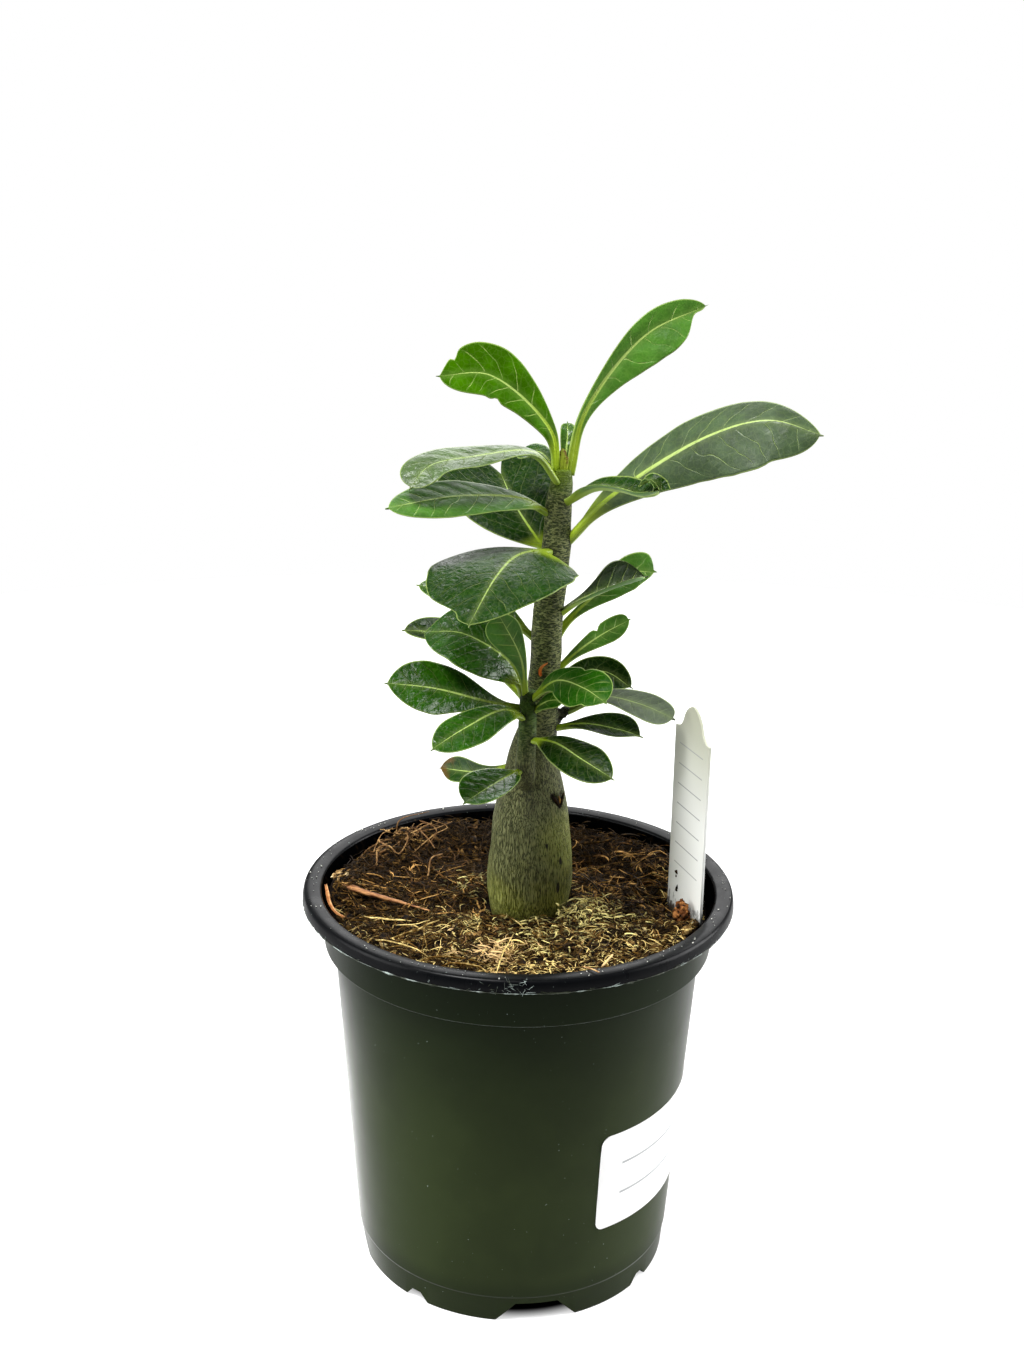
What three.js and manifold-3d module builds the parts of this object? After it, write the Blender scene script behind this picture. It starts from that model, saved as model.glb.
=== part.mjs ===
// A potted desert rose: a succulent with a swollen base, in a round plastic nursery pot.
// Millimetres, +Z up. While it is built, the pot's axis is at X = Y = 0 and its foot at Z = 0.
// The finished group is then moved so that its origin lies under the middle of its bounding box.
import * as THREE from "three";
import { mergeVertices } from "three/addons/utils/BufferGeometryUtils.js";
import Module from "manifold-3d";

const wasm = await Module();
wasm.setup();

// Pot
const RIM_R = 57;
const RIM_TOP = 106;
const RIM_SKIRT = 3.5; // how far the rolled rim hangs down outside
const RIM_MOUTH_R = 51.8;
const BAND_R = 51.4; // the wide collar under the rim
const BAND_LOW = 90;
const BODY_TOP_R = 48.7;
const BODY_LOW_R = 43.2;
const FOOT_R = 42.3;
const FOOT_HEIGHT = 8;
const WALL = 1.2;
const PANEL_UNDER = 6; // underside of the raised base panel
const NOTCHES = 4; // of each size, alternating round the foot
const NOTCH_LARGE = { low: 21, high: 11, height: 5.7, turn: 9 };
const NOTCH_SMALL = { low: 7, high: 2.6, height: 2.8, turn: 54 };
const DRAIN_R = 3.5;
const DRAIN_RING_R = 31;

// Soil
const SOIL_TOP = 99;
const GAP = 0.3; // between pieces that touch

// Label on the pot wall: size, left edge in degrees from the front, and height of its middle
const LABEL = { width: 66.7, height: 28.4, corner: 2.5, thick: 0.25, start: 28.5, middle: 39.6 };

// Tag: a flat stake that stands near the right wall, its width lying 19 degrees off the Y axis
const TAG = { width: 20, thick: 0.7, shoulder: 150, peak: 157.5, taper: 99.5, tip: 83 };
const TAG_PLACE = { x: 43.6, y: -7.2, turn: -71 };

// Plant stems as [x, y, z, radius] up their middle
const TRUNK = [
  [2.7, 0, 76, 1.5],
  [2.7, 0, 80, 4.8],
  [2.7, 0, 86, 8.5],
  [2.7, 0, 92, 10.6],
  [2.8, 0, 99, 11.2],
  [3, 0, 110, 11.1],
  [3.1, 0, 118, 10.5],
  [3, 0, 124, 9.9],
  [3, 0, 130, 9],
  [3.1, 0, 138, 7.2],
  [3.4, 0, 144, 6],
  [4.4, 0, 150, 4.9],
  [5.2, 0, 158, 4.3],
  [5.9, 0, 168, 4],
  [6.1, 0, 180, 3.9],
  [7, 0, 187, 3.7],
  [7.8, 0, 197, 3.6],
  [8.2, 0, 208, 3.2],
  [8.7, 0, 213, 2.8],
  [8.8, 0, 216, 2.2],
];
const FRONT_BRANCH = [
  [1.6, -4.5, 132, 2],
  [1, -7.6, 138, 2.6],
  [1.2, -8.8, 144, 2.5],
  [1.4, -9.4, 150, 2.3],
  [1.4, -9.5, 157, 2.2],
  [1.5, -9.6, 162, 1.8],
];
const SIDE_STUB = [
  [7, 0.5, 149.5, 1.8],
  [9.5, 0.8, 151.5, 1.7],
  [11.5, 1.2, 154, 1.2],
];
const STEMS = { trunk: TRUNK, branch: FRONT_BRANCH, stub: SIDE_STUB };

// Leaves. "from" is the stem, the height and the compass bearing of the leaf's foot, where 0 is +X
// and 90 is +Y. "along" is the midrib's way from there to the tip. "faces" is the bearing and the
// rise of the upper side. Widest is where the blade is widest: a low "swell" fills out the base and
// a low "round" blunts the tip. "lean" is the share of the width on the midrib's right-hand side.
const LEAVES = [
  {
    name: "leaf_crown_left", from: ["trunk", 215.5, 200],
    along: [[3, -2, 228.5], [-6.5, -5, 238], [-21, -9, 238.5]],
    faces: [-70, 35], width: 13.6, swell: 1.4, round: 0.7, fold: 18, lean: 0.54,
  },
  {
    name: "leaf_crown_right", from: ["trunk", 214.5, 0],
    along: [[15.5, 2, 233], [26.5, 5, 246], [43, 8, 255]],
    faces: [-75, 20], width: 12, swell: 1.4, round: 0.75, fold: 18, lean: 0.62,
  },
  {
    name: "leaf_crown_back_left", from: ["trunk", 214.5, 130],
    along: [[3.5, 8, 218.5], [-2, 14, 217.5]],
    faces: [-90, 50], width: 6, swell: 1.1, round: 0.5, fold: 10, lean: 0.5,
  },
  {
    name: "leaf_crown_back", from: ["trunk", 214.5, 75],
    along: [[10, 5, 223.5], [10, 8, 226]],
    faces: [-90, 20], width: 4, swell: 1.1, round: 0.5, fold: 20, lean: 0.5,
  },
  {
    name: "leaf_drooping_left", from: ["trunk", 213, 235],
    along: [[2, -5, 220], [-13.5, -13, 221], [-25, -19, 219], [-26.5, -23, 215]],
    faces: [-60, 80], width: 13, swell: 1.1, round: 0.5, fold: 5, lean: 0.5,
  },
  {
    name: "leaf_curled_right", from: ["trunk", 208, 308],
    along: [[16.5, -11, 213.5], [22, -17, 214.5], [29, -23, 214.5]],
    faces: [-90, 70], width: 7, swell: 1.1, round: 0.5, fold: 10, lean: 0.5,
  },
  {
    name: "leaf_flat_left", from: ["trunk", 205, 215],
    along: [[-0.5, -6, 209], [-14.5, -14, 211.5], [-32, -24, 210]],
    faces: [-85, 66], width: 15, swell: 1.1, round: 0.5, fold: 12, lean: 0.5,
  },
  {
    name: "leaf_long_right", from: ["trunk", 198, 345],
    along: [[21, -7, 210], [42, -17, 227.5], [55, -23, 231.5], [66.5, -27, 229.5]],
    faces: [-100, 42], width: 19, swell: 1.7, round: 0.55, fold: -14, lean: 0.55,
  },
  {
    name: "leaf_notched_back", from: ["trunk", 194, 140],
    along: [[-2, 13, 203], [-7, 24, 209]],
    faces: [-85, 38], width: 34, swell: 0.85, round: 0.3, fold: 8, lean: 0.5, notch: 8,
  },
  {
    name: "leaf_broad_front", from: ["trunk", 196, 240],
    along: [[-1, -14, 197.2], [-6, -28, 194.3], [-10.8, -42, 186.6]],
    faces: [-95, 72], width: 35, swell: 1, round: 0.6, fold: 3, lean: 0.52,
  },
  {
    name: "leaf_folded_right", from: ["trunk", 179, 345],
    along: [[15, -4, 183.5], [21, -6, 187.5], [29.5, -9, 191]],
    faces: [-100, 45], width: 12, swell: 1.9, round: 0.55, fold: 22, lean: 0.5,
  },
  {
    name: "leaf_behind_broad", from: ["trunk", 172, 165],
    along: [[-5.5, 4, 178.5], [-15, 8, 181.5], [-27, 10, 183.5]],
    faces: [-80, 50], width: 9, swell: 1.1, round: 0.6, fold: 10, lean: 0.5,
  },
  {
    name: "leaf_stalked_right", from: ["trunk", 165, 40],
    along: [[11, 4.5, 171], [17, 7, 181.5], [26, 9, 188], [33.5, 11, 187.5]],
    faces: [-90, 30], width: 9, swell: 2.2, round: 0.5, fold: 10, lean: 0.5,
  },
  {
    name: "leaf_side_upright", from: ["trunk", 164, 5],
    along: [[14.5, 2.5, 168.5], [21, 5, 172.5], [27, 7, 175.5]],
    faces: [-90, 30], width: 6.5, swell: 1.1, round: 0.45, fold: 8, lean: 0.5,
  },
  {
    name: "leaf_side_dark", from: ["trunk", 156, 30],
    along: [[15, 6, 160.5], [21.5, 8, 162.5], [28.5, 8, 158]],
    faces: [-90, 35], width: 9.5, swell: 1, round: 0.5, fold: 10, lean: 0.5,
  },
  {
    name: "leaf_side_dull", from: ["stub", 153, 350],
    along: [[20, 0, 156], [30, -4, 156.5], [38, -8, 154]],
    faces: [-90, 60], width: 10, swell: 0.9, round: 0.5, fold: 8, lean: 0.5,
  },
  {
    name: "leaf_side_low", from: ["trunk", 149, 345],
    along: [[17.5, -2, 150.5], [24, -4, 150.5], [30, -6, 149]],
    faces: [-90, 60], width: 9, swell: 1.5, round: 0.6, fold: 12, lean: 0.5,
  },
  {
    name: "leaf_branch_back_left", from: ["branch", 158, 85],
    along: [[-11, -2, 169.5], [-21, 3, 172.5], [-30.5, 6, 172.5]],
    faces: [-80, 50], width: 10, swell: 1.1, round: 0.5, fold: 15, lean: 0.5,
  },
  {
    name: "leaf_branch_large", from: ["branch", 160.5, 178],
    along: [[-5.5, -9.5, 171], [-12.5, -9, 175.5], [-24.5, -7, 176]],
    faces: [-80, 42], width: 16.5, swell: 1, round: 0.6, fold: 8, lean: 0.55,
  },
  {
    name: "leaf_branch_upright", from: ["branch", 161, 235],
    along: [[-3, -13, 175], [-6, -15, 182.5]],
    faces: [-90, 15], width: 9.5, swell: 1.1, round: 0.5, fold: 15, lean: 0.5,
  },
  {
    name: "leaf_branch_far_left", from: ["branch", 157, 183],
    along: [[-8, -12.7, 160], [-20, -17.4, 164.4], [-32.5, -24, 167.5]],
    faces: [-85, 40], width: 14.5, swell: 1.2, round: 0.6, fold: 12, lean: 0.5,
  },
  {
    name: "leaf_branch_low_left", from: ["branch", 155, 240],
    along: [[-5, -16.4, 158.2], [-12.5, -24, 157], [-21, -31, 153.5]],
    faces: [-90, 50], width: 11.5, swell: 1.1, round: 0.5, fold: 10, lean: 0.5,
  },
  {
    name: "leaf_branch_right", from: ["branch", 160, 320],
    along: [[8, -17, 166.5], [15, -25, 167.5], [19.5, -30, 165.5]],
    faces: [-85, 40], width: 13, swell: 1, round: 0.45, fold: 8, lean: 0.5,
  },
  {
    name: "leaf_branch_small", from: ["branch", 156.5, 350],
    along: [[6.5, -12.5, 160], [10, -13, 160.5]],
    faces: [-90, 50], width: 5, swell: 1.1, round: 0.5, fold: 10, lean: 0.5,
  },
  {
    name: "leaf_branch_low_right", from: ["branch", 149, 315],
    along: [[8, -18, 150.5], [15, -26, 149], [21.5, -31, 146.5]],
    faces: [-85, 45], width: 11.5, swell: 1, round: 0.55, fold: 10, lean: 0.5,
  },
  {
    name: "leaf_shoulder_front", from: ["branch", 140.5, 240],
    along: [[-4, -16, 141], [-9.5, -22, 139.5], [-14, -26, 137.5]],
    faces: [-95, 55], width: 12, swell: 1, round: 0.5, fold: 18, lean: 0.5,
  },
  {
    name: "leaf_shoulder_back", from: ["trunk", 138.5, 190],
    along: [[-10.5, 2, 137], [-21, 8, 133.5]],
    faces: [-95, 45], width: 8, swell: 1.1, round: 0.5, fold: 15, lean: 0.5,
  },
];
const LEAF_THICK = 0.9; // at the midrib; the margins are thinner
const MARGIN_THICK = 0.6;
const STALK_WIDTH = 1.9;
const STALK_THICK = 1.5;
const STALK_SHARE = 0.1; // how much of the leaf's length is bare stalk
const STALK_SHARES = { leaf_stalked_right: 0.3 };
const LEAF_STEPS = 11;
const LEAF_HALF_STEPS = 2;

// Bits on the soil, as [x, y] places in the pot
const SPLINTER = { from: [-46, -0.5], to: [-24, -5.6], thick: 1.6, point: 0.6 };
const CHIP_RIGHT = { x: 47.2, y: -2.6, turn: 20, length: 4.5, width: 2.4, thick: 1.2 };
const CHIP_LEFT = { x: -44.5, y: 15, turn: 75, length: 6, width: 3, thick: 1.6 };
const ROOTLETS = [
  [[-33, 28, 99.9], [-30.5, 32, 102.5], [-28, 35.5, 104.5], [-25, 38.5, 105.8]],
  [[-41, 24, 99.9], [-38.5, 28, 101.2], [-35.5, 31.5, 100.9], [-34, 36, 99.9]],
];
const ROOTLET_R = 0.45;
const CLUMP_R = 2.9;
const CLUMP_ALONG = 4.6; // from the middle of the tag's width towards the front
const BUD = { length: 5.2, radius: 1.1, lean: 0.3 };

const solidOf = (geometry) => {
  const bare = geometry.clone();
  bare.deleteAttribute("normal");
  bare.deleteAttribute("uv");
  const merged = mergeVertices(bare, 1e-4);
  const mesh = new wasm.Mesh({
    numProp: 3,
    vertProperties: merged.attributes.position.array,
    triVerts: new Uint32Array(merged.index.array),
  });
  return new wasm.Manifold(mesh);
};

const geometryOf = (solid) => {
  const { vertProperties, triVerts } = solid.getMesh();
  const geometry = new THREE.BufferGeometry();
  geometry.setAttribute("position", new THREE.BufferAttribute(vertProperties, 3));
  geometry.setIndex(new THREE.BufferAttribute(triVerts, 1));
  return geometry;
};

const radians = THREE.MathUtils.degToRad;
const bearing = (degrees, rise = 0) =>
  new THREE.Vector3(1, 0, 0)
    .applyAxisAngle(new THREE.Vector3(0, -1, 0), radians(rise))
    .applyAxisAngle(new THREE.Vector3(0, 0, 1), radians(degrees));

// A closed solid through a row of closed loops that all have as many points. Seen from the first
// loop towards the last, each loop runs clockwise.
const loft = (loops) => {
  const count = loops[0].length;
  const points = loops.flat();
  const faces = [];
  for (let i = 0; i < loops.length - 1; i++) {
    for (let j = 0; j < count; j++) {
      const a = i * count + j;
      const b = i * count + ((j + 1) % count);
      faces.push(a, b, b + count, a, b + count, a + count);
    }
  }
  const middle = (loop) =>
    loop.reduce((sum, p) => sum.add(p), new THREE.Vector3()).divideScalar(count);
  const last = (loops.length - 1) * count;
  const start = points.push(middle(loops[0])) - 1;
  const end = points.push(middle(loops.at(-1))) - 1;
  for (let j = 0; j < count; j++) {
    const next = (j + 1) % count;
    faces.push(start, next, j, end, last + j, last + next);
  }
  return new THREE.BufferGeometry().setFromPoints(points).setIndex(faces);
};

const revolve = (profile, segments) =>
  new THREE.LatheGeometry(profile.map(([r, z]) => new THREE.Vector2(r, z)), segments).rotateX(
    Math.PI / 2,
  );

// Pot
const bodyRadius = (z) =>
  THREE.MathUtils.mapLinear(z, FOOT_HEIGHT, BAND_LOW, BODY_LOW_R, BODY_TOP_R);
const bandInner = BAND_R - WALL;
const bodyInner = BODY_TOP_R - WALL;
const bandStep = BAND_LOW + WALL; // the ledge inside lies one wall higher than the step outside

function notchCutter({ low, high, height }) {
  const outline = new THREE.Shape();
  outline.moveTo(-low / 2 - 1, -1);
  outline.lineTo(low / 2 + 1, -1);
  outline.lineTo(high / 2, height);
  outline.lineTo(-high / 2, height);
  return new THREE.ExtrudeGeometry(outline, { depth: 8, bevelEnabled: false })
    .rotateX(Math.PI / 2)
    .translate(0, -FOOT_R + 6, 0);
}

function potGeometry() {
  const foot = FOOT_HEIGHT - 0.5;
  const skirtLow = RIM_TOP - RIM_SKIRT;
  const profile = [
    [FOOT_R - WALL, 0],
    [FOOT_R, 0],
    [FOOT_R + 0.3, foot],
    [BODY_LOW_R, FOOT_HEIGHT],
    [BODY_TOP_R, BAND_LOW],
    [BAND_R, BAND_LOW + 0.6],
    [BAND_R + 0.6, skirtLow + 1.4],
    [RIM_R - 1.4, skirtLow + 1.4],
    [RIM_R - 1.2, skirtLow],
    [RIM_R - 0.2, skirtLow],
    [RIM_R, RIM_TOP - 1.2],
    [RIM_R - 0.8, RIM_TOP - 0.2],
    [RIM_R - 1.8, RIM_TOP],
    [RIM_MOUTH_R + 0.8, RIM_TOP - 0.3],
    [RIM_MOUTH_R, RIM_TOP - 1.4],
    [bandInner + 0.6, RIM_TOP - 4],
    [bandInner, bandStep + 0.6],
    [bodyInner, bandStep],
    [bodyRadius(FOOT_HEIGHT) - WALL, PANEL_UNDER + WALL],
    [0, PANEL_UNDER + WALL],
    [0, PANEL_UNDER],
    [FOOT_R - WALL, PANEL_UNDER],
    [FOOT_R - WALL, 0],
  ];
  let solid = solidOf(revolve(profile, 56));
  for (const notch of [NOTCH_LARGE, NOTCH_SMALL]) {
    for (let i = 0; i < NOTCHES; i++) {
      const turn = radians(notch.turn + (i * 360) / NOTCHES);
      solid = solid.subtract(solidOf(notchCutter(notch).rotateZ(turn)));
    }
  }
  for (let i = 0; i < 2 * NOTCHES; i++) {
    const turn = radians(NOTCH_LARGE.turn + (i * 360) / (2 * NOTCHES));
    const hole = new THREE.CylinderGeometry(DRAIN_R, DRAIN_R, 4, 10)
      .rotateX(Math.PI / 2)
      .translate(DRAIN_RING_R, 0, PANEL_UNDER + WALL / 2)
      .rotateZ(turn - Math.PI / 2);
    solid = solid.subtract(solidOf(hole));
  }
  return geometryOf(solid);
}

// The label follows the wall's taper: each loop is a thin slice across it, from its left end
function labelGeometry() {
  const slices = 30;
  const { width, height, corner, thick, start, middle } = LABEL;
  const loops = [];
  const radius = bodyRadius(middle);
  for (let i = 0; i <= slices; i++) {
    const along = (width * (1 - Math.cos((Math.PI * i) / slices))) / 2;
    const fromEnd = Math.min(along, width - along, corner);
    const half = height / 2 - corner + Math.sqrt(corner ** 2 - (corner - fromEnd) ** 2);
    const turn = bearing(start - 90 + THREE.MathUtils.radToDeg(along / radius));
    const corners = [[GAP, -half], [GAP, half], [GAP + thick, half], [GAP + thick, -half]];
    loops.push(
      corners.map(([out, up]) =>
        turn.clone().multiplyScalar(bodyRadius(middle + up) + out).setZ(middle + up),
      ),
    );
  }
  return loft(loops);
}

// Plant
const ringLoop = ([x, y, z, r], sides) =>
  Array.from({ length: sides }, (_, i) =>
    bearing((360 * i) / sides).multiplyScalar(r).add(new THREE.Vector3(x, y, z)),
  );

// A stem through its rings, grown all round where a neighbour has to keep clear of it
function stemSolid(rings, sides, grow = 0) {
  const grown = rings.map(([x, y, z, r]) => [x, y, z, r + grow]);
  grown[0][2] -= grow;
  grown.at(-1)[2] += grow;
  return solidOf(loft(grown.map((ring) => ringLoop(ring, sides))));
}

const plantSolid = (grow = 0) =>
  stemSolid(TRUNK, 18, grow)
    .add(stemSolid(FRONT_BRANCH, 12, grow))
    .add(stemSolid(SIDE_STUB, 10, grow));

// A point inside the stem under the leaf's foot; the leaf is later cut back to the bark
function leafFoot([stem, height, compass]) {
  const rings = STEMS[stem];
  const above = Math.max(1, rings.findIndex((ring) => ring[2] >= height));
  const [low, high] = [rings[above - 1], rings[above]];
  const share = (height - low[2]) / (high[2] - low[2]);
  const [x, y, z, r] = low.map((value, i) => value + share * (high[i] - value));
  return bearing(compass).multiplyScalar(r * 0.7).add(new THREE.Vector3(x, y, z));
}

function leafGeometry(leaf) {
  const way = [leafFoot(leaf.from), ...leaf.along.map((p) => new THREE.Vector3(...p))];
  const points = new THREE.CatmullRomCurve3(way).getSpacedPoints(LEAF_STEPS);
  const faces = bearing(...leaf.faces);
  const widest = leaf.swell / (leaf.swell + leaf.round);
  const peak = widest ** leaf.swell * (1 - widest) ** leaf.round;
  const stalk = STALK_SHARES[leaf.name] ?? STALK_SHARE;
  const fold = radians(leaf.fold);
  const loops = points.map((point, i) => {
    const ahead = points[Math.min(i + 1, LEAF_STEPS)].clone();
    const along = ahead.sub(points[Math.max(i - 1, 0)]).normalize();
    const up = faces.clone().addScaledVector(along, -faces.dot(along)).normalize();
    const right = along.clone().cross(up);
    const share = Math.min(Math.max((i / LEAF_STEPS - stalk) / (1 - stalk), 0), 0.985);
    const blade = (share ** leaf.swell * (1 - share) ** leaf.round) / peak;
    const thin = 1 - blade;
    const upper = [];
    const lower = [];
    for (let j = -LEAF_HALF_STEPS; j <= LEAF_HALF_STEPS; j++) {
      const side = j / LEAF_HALF_STEPS;
      const part = side > 0 ? leaf.lean : 1 - leaf.lean;
      const half = leaf.width * part * blade + (STALK_WIDTH / 2) * thin * (1 - share);
      const lobe = (leaf.notch ?? 0) * (i / LEAF_STEPS) ** 6 * (1 - (2 * Math.abs(side) - 1) ** 2);
      const edge = Math.abs(side);
      const thick =
        STALK_THICK * (1 - share) * thin + (LEAF_THICK - (LEAF_THICK - MARGIN_THICK) * edge) * blade;
      const top = point
        .clone()
        .addScaledVector(right, half * side * Math.cos(fold))
        .addScaledVector(up, half * edge * Math.sin(fold))
        .addScaledVector(along, lobe);
      upper.push(top);
      lower.unshift(top.clone().addScaledVector(up, -Math.max(thick, MARGIN_THICK)));
    }
    return [...upper, ...lower];
  });
  return loft(loops);
}

// Tag
function tagOutline(grow) {
  const half = TAG.width / 2 + grow;
  const cove = half * 0.62;
  const outline = new THREE.Shape();
  outline.moveTo(0, TAG.tip - 2 * grow);
  outline.lineTo(half, TAG.taper);
  outline.lineTo(half, TAG.shoulder + grow);
  outline.lineTo(half * 0.84, TAG.shoulder + grow);
  outline.quadraticCurveTo(cove, TAG.shoulder + 0.8, half * 0.5, TAG.shoulder + 3.6);
  outline.quadraticCurveTo(half * 0.3, TAG.peak + grow, 0, TAG.peak + grow);
  outline.quadraticCurveTo(-half * 0.3, TAG.peak + grow, -half * 0.5, TAG.shoulder + 3.6);
  outline.quadraticCurveTo(-cove, TAG.shoulder + 0.8, -half * 0.84, TAG.shoulder + grow);
  outline.lineTo(-half, TAG.shoulder + grow);
  outline.lineTo(-half, TAG.taper);
  return outline;
}

function tagGeometry(grow = 0) {
  const depth = TAG.thick + 2 * grow;
  const flat = { depth, bevelEnabled: false, curveSegments: 4 };
  return new THREE.ExtrudeGeometry(tagOutline(grow), flat)
    .rotateX(Math.PI / 2)
    .translate(0, depth / 2, 0)
    .rotateZ(radians(TAG_PLACE.turn))
    .translate(TAG_PLACE.x, TAG_PLACE.y, 0);
}

// Soil: fills the pot and keeps clear of the wall, the root and the tag
function soilGeometry() {
  const base = PANEL_UNDER + WALL + GAP;
  const profile = [
    [0, base],
    [bodyRadius(FOOT_HEIGHT) - WALL - 2 * GAP, base],
    [bodyInner - 2 * GAP, bandStep - GAP],
    [bodyInner - GAP, bandStep + GAP],
    [bandInner - GAP, bandStep + 1.2],
    [bandInner - GAP, SOIL_TOP - 0.8],
    [bandInner - 3, SOIL_TOP],
    [0, SOIL_TOP],
  ];
  return geometryOf(
    solidOf(revolve(profile, 56))
      .subtract(stemSolid(TRUNK, 18, GAP))
      .subtract(solidOf(tagGeometry(GAP))),
  );
}

// Bits that lie on the soil or grow on the stem
function splinterGeometry() {
  const { from, to, thick, point } = SPLINTER;
  const way = new THREE.Vector2(to[0] - from[0], to[1] - from[1]);
  const outline = new THREE.Shape();
  outline.moveTo(0, 0);
  outline.lineTo(way.length(), 0);
  outline.lineTo(way.length(), point);
  outline.lineTo(way.length() * 0.35, thick * 0.8);
  outline.lineTo(2, thick);
  outline.lineTo(0, thick * 0.7);
  return new THREE.ExtrudeGeometry(outline, { depth: thick, bevelEnabled: false })
    .rotateX(Math.PI / 2)
    .rotateZ(way.angle())
    .translate(from[0], from[1], SOIL_TOP + GAP);
}

function chipGeometry({ x, y, turn, length, width, thick }) {
  const outline = new THREE.Shape();
  outline.moveTo(-length / 2, -width / 2);
  outline.lineTo(length * 0.4, -width * 0.4);
  outline.lineTo(length / 2, width * 0.3);
  outline.lineTo(-length * 0.3, width / 2);
  return new THREE.ExtrudeGeometry(outline, { depth: thick, bevelEnabled: false })
    .rotateZ(radians(turn))
    .translate(x, y, SOIL_TOP + GAP);
}

function rootletGeometry(way) {
  const path = new THREE.CatmullRomCurve3(way.map((p) => new THREE.Vector3(...p)));
  const section = new THREE.Shape().absarc(0, 0, ROOTLET_R, 0, 2 * Math.PI);
  return new THREE.ExtrudeGeometry(section, { extrudePath: path, steps: 9, curveSegments: 3 });
}

function clumpGeometry() {
  const lump = new THREE.IcosahedronGeometry(CLUMP_R, 1).scale(0.75, 1, 1.35);
  const reach = CLUMP_R * 0.75 + TAG.thick / 2 + GAP;
  const inward = bearing(TAG_PLACE.turn - 90);
  const forward = bearing(TAG_PLACE.turn);
  return lump
    .rotateZ(radians(TAG_PLACE.turn - 90))
    .translate(
      TAG_PLACE.x + inward.x * reach + forward.x * CLUMP_ALONG,
      TAG_PLACE.y + inward.y * reach + forward.y * CLUMP_ALONG,
      SOIL_TOP + GAP + CLUMP_R * 1.35,
    );
}

function budGeometry() {
  const [x, y, z] = TRUNK.at(-1);
  const { length, radius, lean } = BUD;
  const rings = [[0, 0.5], [0.3, 1], [0.7, 0.75], [1, 0.15]];
  return loft(
    rings.map(([share, size]) =>
      ringLoop([x - lean * share, y - lean * share, z + GAP + length * share, radius * size], 10),
    ),
  );
}

function bractGeometry() {
  const way = [leafFoot(["trunk", 164, 255]), [4.4, -5.4, 165.5], [5.8, -6, 167.8]];
  const points = way.map((p) => (p.isVector3 ? p : new THREE.Vector3(...p)));
  const section = new THREE.Shape();
  section.moveTo(-0.3, -0.7);
  section.lineTo(0.3, -0.7);
  section.lineTo(0.3, 0.7);
  section.lineTo(-0.3, 0.7);
  const path = new THREE.CatmullRomCurve3(points);
  return new THREE.ExtrudeGeometry(section, { extrudePath: path, steps: 5 });
}

// Materials
const finish = (color, roughness) =>
  new THREE.MeshStandardMaterial({ color, roughness, metalness: 0 });
const leafGreen = 0x2f5f26;
const leafColors = { leaf_crown_left: 0x6fa32a, leaf_branch_right: 0x44802a };

const plant = new THREE.Group();

function addPart(name, geometry, color, roughness) {
  const mesh = new THREE.Mesh(geometry, finish(color, roughness));
  mesh.name = name;
  plant.add(mesh);
}

addPart("nursery_pot", potGeometry(), 0x20271c, 0.4);
addPart("pot_label", labelGeometry(), 0xf4f4f2, 0.6);
addPart("potting_soil", soilGeometry(), 0x4a3320, 1);
addPart("caudex_trunk", geometryOf(plantSolid()), 0x77775f, 0.85);
const nearBark = plantSolid(GAP);
for (const leaf of LEAVES) {
  const cut = geometryOf(solidOf(leafGeometry(leaf)).subtract(nearBark));
  addPart(leaf.name, cut, leafColors[leaf.name] ?? leafGreen, 0.35);
}
addPart("apical_bud", budGeometry(), 0x8a9440, 0.6);
const bract = solidOf(bractGeometry()).subtract(nearBark);
addPart("dried_bract", geometryOf(bract), 0xb5602a, 0.9);
addPart("plant_tag", tagGeometry(), 0xe9ebe4, 0.45);
addPart("soil_clump", clumpGeometry(), 0x5c3a22, 1);
addPart("wood_splinter", splinterGeometry(), 0x9a5f3c, 0.9);
addPart("bark_chip_right", chipGeometry(CHIP_RIGHT), 0x9a6a44, 0.95);
addPart("bark_chip_left", chipGeometry(CHIP_LEFT), 0xc4ae86, 0.95);
ROOTLETS.forEach((way, i) =>
  addPart(`root_strand_${i + 1}`, rootletGeometry(way), 0x7c5b38, 0.95),
);

const box = new THREE.Box3().setFromObject(plant);
const middle = box.getCenter(new THREE.Vector3());
plant.position.set(-middle.x, -middle.y, -box.min.z);

export default plant;
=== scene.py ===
# A young desert rose in a round plastic nursery pot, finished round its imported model.
# The tables hold millimetres from the pot's own axis and foot. Objects are made in metres.
import math
from collections import namedtuple

import bmesh
import bpy
import numpy as np
from bpy.props import FloatProperty, FloatVectorProperty, IntProperty, PointerProperty
from mathutils import Matrix, Vector, noise


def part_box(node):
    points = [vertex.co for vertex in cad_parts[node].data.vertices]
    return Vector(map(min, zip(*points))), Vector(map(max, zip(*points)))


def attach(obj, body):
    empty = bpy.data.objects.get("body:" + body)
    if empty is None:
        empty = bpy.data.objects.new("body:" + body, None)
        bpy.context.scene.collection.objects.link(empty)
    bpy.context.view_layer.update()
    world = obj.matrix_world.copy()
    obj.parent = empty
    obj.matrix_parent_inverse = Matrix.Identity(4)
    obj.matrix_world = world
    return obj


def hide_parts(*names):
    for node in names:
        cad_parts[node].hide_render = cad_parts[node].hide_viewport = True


bl_info = {
    "name": "Potted desert rose",
    "version": (1, 0, 0),
    "blender": (4, 5, 0),
    "location": "View3D > Sidebar > Desert rose",
    "description": "Finishes a young desert rose in its nursery pot",
    "category": "Object",
}

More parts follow.
